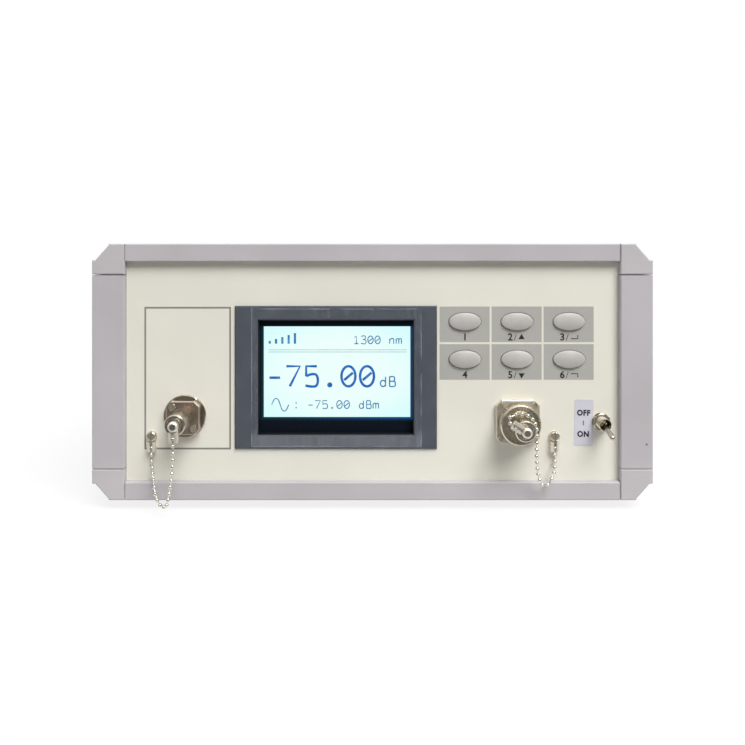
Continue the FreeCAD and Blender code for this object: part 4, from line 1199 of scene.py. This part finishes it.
@dataclass
class PanelPrint(Assembly):
    """Outline printed round the laser port."""

    middle: Spot = (-93.1, 65.3)
    size: Spot = (43.6, 71.8)
    line: float = 0.85
    thickness: float = 0.05

    def build(self) -> None:
        """Thin frame of ink."""
        shape = self.plate(self.size)
        bmesh.ops.inset_region(
            shape, faces=shape.faces[:], thickness=self.line, use_boundary=True, use_even_offset=True)
        inner = min(shape.faces, key=lambda one: one.calc_center_median().length)
        bmesh.ops.delete(shape, geom=[inner], context="FACES")
        self.thicken(shape, self.thickness)
        self.lay(shape, "port_outline", Finishes.OUTLINE, self.middle, PANEL_Y)


@dataclass
class PowerSwitch(Assembly):
    """Thread of the switch's bushing and the label beside it."""

    middle: Spot = (114.9, 43.5)
    bushing_radius: float = 3.0
    thread_from: float = 2.75
    thread_to: float = 8.3
    thread_pitch: float = 0.7
    thread_depth: float = 0.2
    thread_sink: float = 0.05
    thread_flank: float = 0.42 * 0.7
    steps_per_turn: int = 36
    label: Spot = (9.5, 23.2)
    label_corner: float = 0.9
    label_middle: Spot = (106.4, 42.9)
    label_turn: float = 1.2
    label_thickness: float = 0.15
    print_thickness: float = 0.03
    print_shift: float = -0.2
    letter_weight: float = 0.19
    letter_squeeze: float = 0.92
    bar: Sequence[Spot] = ((0.0, -1.2), (0.0, 1.2))
    bar_width: float = 0.42
    bar_rise: float = -0.2

    def build(self) -> None:
        """Thread, label and its words."""
        self.thread()
        shape = self.plate(self.label)
        bmesh.ops.bevel(
            shape, geom=shape.verts[:], offset=self.label_corner, offset_type="OFFSET",
            affect="VERTICES", segments=5, profile=0.5, material=-1)
        self.thicken(shape, self.label_thickness)
        self.lay(shape, "switch_label", Finishes.STICKER, self.label_middle, PANEL_Y, self.label_turn)
        words = (("switch_off_mark", "OFF", 4.8, 2.75), ("switch_on_mark", "ON", -5.9, 2.8))
        for name, word, rise, height in words:
            letters = self.lettering(word, height, self.print_thickness, self.letter_weight)
            bmesh.ops.scale(letters, verts=letters.verts, vec=(self.letter_squeeze, 1.0, 1.0))
            self.on_label(letters, name, rise)
        bar = self.strokes([(False, self.bar)], self.bar_width, self.print_thickness)
        self.on_label(bar, "switch_line_mark", self.bar_rise)

    def on_label(self, shape: BMesh, name: str, rise: float) -> None:
        """Lay a mark on the label, at a height above its middle."""
        bmesh.ops.translate(shape, verts=shape.verts, vec=(self.print_shift, rise, self.label_thickness))
        self.lay(shape, name, Finishes.STICKER_INK, self.label_middle, PANEL_Y, self.label_turn)

    def thread(self) -> None:
        """Helical ridge on the bushing in front of its nut."""
        shape = bmesh.new()
        reach = self.thread_to - self.thread_from
        turns = reach / self.thread_pitch
        steps = int(turns * self.steps_per_turn)
        inner, outer = self.bushing_radius - self.thread_sink, self.bushing_radius + self.thread_depth
        corners = ((inner, -self.thread_flank), (outer, 0.0), (inner, self.thread_flank))
        profile = [shape.verts.new((radius, 0.0, side)) for radius, side in corners]
        edges = [shape.edges.new((profile[n], profile[(n + 1) % 3])) for n in range(3)]
        bmesh.ops.spin(
            shape, geom=profile + edges, cent=(0, 0, 0), axis=(0, 0, 1), dvec=(0, 0, reach / steps),
            angle=turns * TURN, steps=steps, use_merge=False)
        bmesh.ops.remove_doubles(shape, verts=shape.verts, dist=THREAD_WELD)
        bmesh.ops.holes_fill(shape, edges=shape.edges[:], sides=3)
        self.lay(shape, "bushing_thread", Finishes.BRIGHT, self.middle, PANEL_Y - self.thread_from)


@dataclass
class BeadChain(Assembly):
    """Bead chain that ties a cap to the panel."""

    name: str
    node: str
    tether: str
    route: Sequence[Point]
    pitch: float = 3.4 * MM
    bead_radius: float = 1.0 * MM
    bead_sides: tuple[int, int] = (20, 14)
    link_radius: float = 0.28 * MM
    link_sides: int = 10
    steps: int = 16

    def build(self) -> None:
        """Beads and links along the route's smooth line."""
        line = self.smooth_line()
        reach = list(accumulate(((b - a).length for a, b in zip(line, line[1:])), initial=0.0))
        centres = self.evenly(line, reach)
        shape = bmesh.new()
        for here, there in zip(centres, centres[1:]):
            self.bead(shape, here, there - here)
            bmesh.ops.create_cone(
                shape, cap_ends=False, segments=self.link_sides, radius1=self.link_radius,
                radius2=self.link_radius, depth=(there - here).length,
                matrix=self.along((here + there) / 2, there - here))
        self.bead(shape, centres[-1], centres[-1] - centres[-2])
        chain = self.publish(shape, self.name, Finishes.CHAIN, body=None, smooth=True)
        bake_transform(chain)
        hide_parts(self.node)

    def smooth_line(self) -> list[Vector]:
        """Read the route's NURBS line.

        Returns:
            Its points.
        """
        curve = bpy.data.curves.new(self.name, "CURVE")
        curve.dimensions = "3D"
        curve.resolution_u = self.steps
        self.spline(curve, self.route)
        shape = self.flat_copy(curve)
        line = [vert.co.copy() for vert in shape.verts]
        shape.free()
        return line

    def evenly(self, line: Sequence[Vector], reach: Sequence[float]) -> list[Vector]:
        """Bead centres at an even pitch.

        Args:
            line: Points of the smooth line.
            reach: Length of the line up to each point.

        Returns:
            Centres from the cap's clasp to the anchor's.
        """
        count = round(reach[-1] / self.pitch)
        centres = []
        for number in range(count + 1):
            goal = reach[-1] * number / count
            index = min(max(bisect_left(reach, goal) - 1, 0), len(line) - 2)
            share = (goal - reach[index]) / (reach[index + 1] - reach[index])
            centres.append(line[index].lerp(line[index + 1], min(max(share, 0.0), 1.0)))
        return centres

    def along(self, centre: Vector, way: Vector) -> Matrix:
        """Placement whose Z axis follows the chain."""
        turn = Vector((0, 0, 1)).rotation_difference(way).to_matrix().to_4x4()
        return Matrix.Translation(centre) @ turn

    def bead(self, shape: BMesh, centre: Vector, way: Vector) -> None:
        """Add a ball whose poles lie on the chain's line."""
        bmesh.ops.create_uvsphere(
            shape, u_segments=self.bead_sides[0], v_segments=self.bead_sides[1], radius=self.bead_radius,
            matrix=self.along(centre, way))


LASER_ROUTE: Sequence[Point] = (
    (-0.0944, -0.13378, 0.04050), (-0.0944, -0.13378, 0.03670), (-0.0944, -0.13378, 0.03290),
    (-0.0950, -0.13220, 0.02700), (-0.0959, -0.13160, 0.01900), (-0.0977, -0.13000, 0.01000),
    (-0.0994, -0.12760, 0.00590), (-0.1036, -0.12340, 0.00570), (-0.1068, -0.11960, 0.01020),
    (-0.1086, -0.11640, 0.01860), (-0.1108, -0.11080, 0.02300), (-0.1108, -0.11080, 0.02680),
    (-0.1108, -0.11080, 0.03060),
)
DETECTOR_ROUTE: Sequence[Point] = (
    (0.06778, -0.13568, 0.04670), (0.06600, -0.13568, 0.04772), (0.06390, -0.13568, 0.04893),
    (0.06430, -0.13480, 0.05110), (0.06900, -0.13330, 0.05260), (0.07360, -0.13150, 0.05160),
    (0.07715, -0.12950, 0.04860), (0.07948, -0.12660, 0.04380), (0.07910, -0.12630, 0.03600),
    (0.07940, -0.12480, 0.02800), (0.08080, -0.12180, 0.01960), (0.08300, -0.11940, 0.01420),
    (0.08680, -0.11840, 0.01400), (0.09000, -0.11660, 0.02020), (0.09140, -0.11080, 0.02300),
    (0.09140, -0.11080, 0.02680), (0.09140, -0.11080, 0.03060),
)


@dataclass
class Rear(Assembly):
    """Screws of the mains inlet's flange."""

    inlet: Spot = (-88.0, 49.0)
    spacing: float = 40.0
    screw: CrossScrew = CrossScrew(1.5, 1.1)
    sink: float = 1.4

    def build(self) -> None:
        """Two small screws in the flange's sinks."""
        whole = bmesh.new()
        for side in (-1, 1):
            x = self.inlet[0] + side * self.spacing / 2
            self.screw.add(whole, (x, INLET_FACE_Y - self.sink, self.inlet[1]))
        self.publish(whole, "inlet_screws", Finishes.STEEL)


@dataclass
class Studio:
    """Camera, soft lamps, pale floor and white surroundings."""

    camera_place: Point = (0.0, -0.513, 0.1323)
    sensor: float = 36.0
    lens: float = 38.75
    shift: Spot = (0.0, -0.171)
    nearest: float = 0.01
    # Name, place in metres, side of the square and watts of each lamp
    lamps: Sequence[tuple[str, Point, float, float]] = (
        ("key_lamp", (1.10, -2.12, 2.72), 1.9, 134.0),
        ("fill_lamp", (-0.90, -0.75, 0.35), 1.0, 0.8),
        ("top_lamp", (0.0, 0.05, 1.15), 0.9, 1.2),
    )
    lamp_aim: Point = (0.0, -0.10, 0.06)
    # Where one tone of the surroundings or the floor goes over into the next
    back_rise: Spot = (-0.15, 0.25)
    ceiling_rise: Spot = (0.2, 0.9)
    overhead_rise: Spot = (0.3, 0.8)
    front_rise: Spot = (-0.2, -0.12)
    white_rise: Spot = (0.2, 0.6)
    bounce_rise: Spot = (0.22, 0.45)
    room_light: float = 0.13
    ceiling_light: float = 0.55
    backdrop_light: float = 0.5
    floor_size: float = 8.0
    floor_white: float = 0.84
    bounce: float = 0.2
    near_bounce: float = 0.45
    front_paper: float = 0.14
    paper: Spot = (0.9, 0.93)

    def build(self) -> None:
        """Camera, lamps, world and floor."""
        bpy.context.scene.view_settings.view_transform = "Standard"
        self.camera()
        self.lights()
        self.world()
        self.floor()

    def camera(self) -> None:
        """Level camera with a falling shift."""
        data = bpy.data.cameras.new("camera")
        data.sensor_width = self.sensor
        data.lens = self.lens
        data.shift_x, data.shift_y = self.shift
        data.clip_start = self.nearest
        camera = stand("camera", data)
        camera.location = self.camera_place
        camera.rotation_euler = (math.radians(90), 0.0, 0.0)
        bpy.context.scene.camera = camera

    def lights(self) -> None:
        """Square soft lamps that look at the front's middle."""
        for name, place, size, power in self.lamps:
            data = bpy.data.lights.new(name, "AREA")
            data.size = size
            data.energy = power
            lamp = stand(name, data)
            lamp.location = place
            aim = Vector(self.lamp_aim) - Vector(place)
            lamp.rotation_euler = aim.to_track_quat("-Z", "Y").to_euler()

    def world(self) -> None:
        """White to look at, plain soft light on the object, and a dim room before it for metal to show."""
        world = bpy.data.worlds.new("studio")
        bpy.context.scene.world = world
        tree = Shader(world)
        _, depth, height = tree.axes("Generated")
        back = depth.rise(*self.back_rise)
        room = tree.mix(height.rise(*self.ceiling_rise), grey(self.room_light), grey(self.ceiling_light))
        light = tree.mix(back, room, grey(self.backdrop_light))
        overhead = tree.mix(height.rise(*self.overhead_rise), grey(self.room_light), WHITE)
        colour = tree.mix(tree.mirrored(), light, tree.mix(back, overhead, WHITE))
        colour = tree.mix(tree.rays("Camera"), colour, WHITE)
        tree.node("OutputWorld", {0: tree.node("Background", {0: colour, 1: 1.0})})

    def floor(self) -> None:
        """Pale floor that fades to white away from the object and keeps its shadow."""
        shape = bmesh.new()
        bmesh.ops.create_grid(shape, x_segments=1, y_segments=1, size=self.floor_size / 2)
        mesh = bpy.data.meshes.new("floor")
        shape.to_mesh(mesh)
        shape.free()
        floor = stand("floor", mesh)
        material = bpy.data.materials.new("floor_paper")
        tree = Shader(material)
        x, y, _ = tree.axes()
        far = (x * x + y * y) ** 0.5
        mirrored = tree.mirrored()
        seen = mirrored.math("MAXIMUM", tree.rays("Camera"))
        front = (1 - y.rise(*self.front_rise)) * mirrored
        fleck = tree.mix(tree.noise(2 * MM), grey(self.paper[0]), grey(self.paper[1]))
        paper = tree.node("BsdfDiffuse", {0: tree.mix(front, fleck, grey(self.front_paper))})
        white = tree.node("Emission", {0: WHITE, 1: 1.0})
        share = (self.floor_white + far.rise(*self.white_rise) * (1 - self.floor_white)) * (1 - front)
        shown = tree.node("MixShader", {0: share, 1: paper, 2: white})
        soft = tree.mix(far.rise(*self.bounce_rise), grey(self.near_bounce), grey(self.bounce))
        dim = tree.node("BsdfDiffuse", {0: soft})
        tree.node("OutputMaterial", {0: tree.node("MixShader", {0: seen, 1: dim, 2: shown})})
        mesh.materials.append(material)


def main() -> None:
    """Build and dress everything in order."""
    logging.basicConfig(level=logging.INFO, format="%(name)s: %(message)s")
    Studio().build()
    BeadChain("laser_bead_chain", "laser_chain", "laser_tether", LASER_ROUTE).build()
    BeadChain("detector_bead_chain", "detector_chain", "detector_tether", DETECTOR_ROUTE).build()
    case = Case()
    case.dress()
    for group in (case, Display(), Keypad(), PanelPrint(), PowerSwitch(), Rear()):
        group.build()


if __name__ == "__main__":
    main()
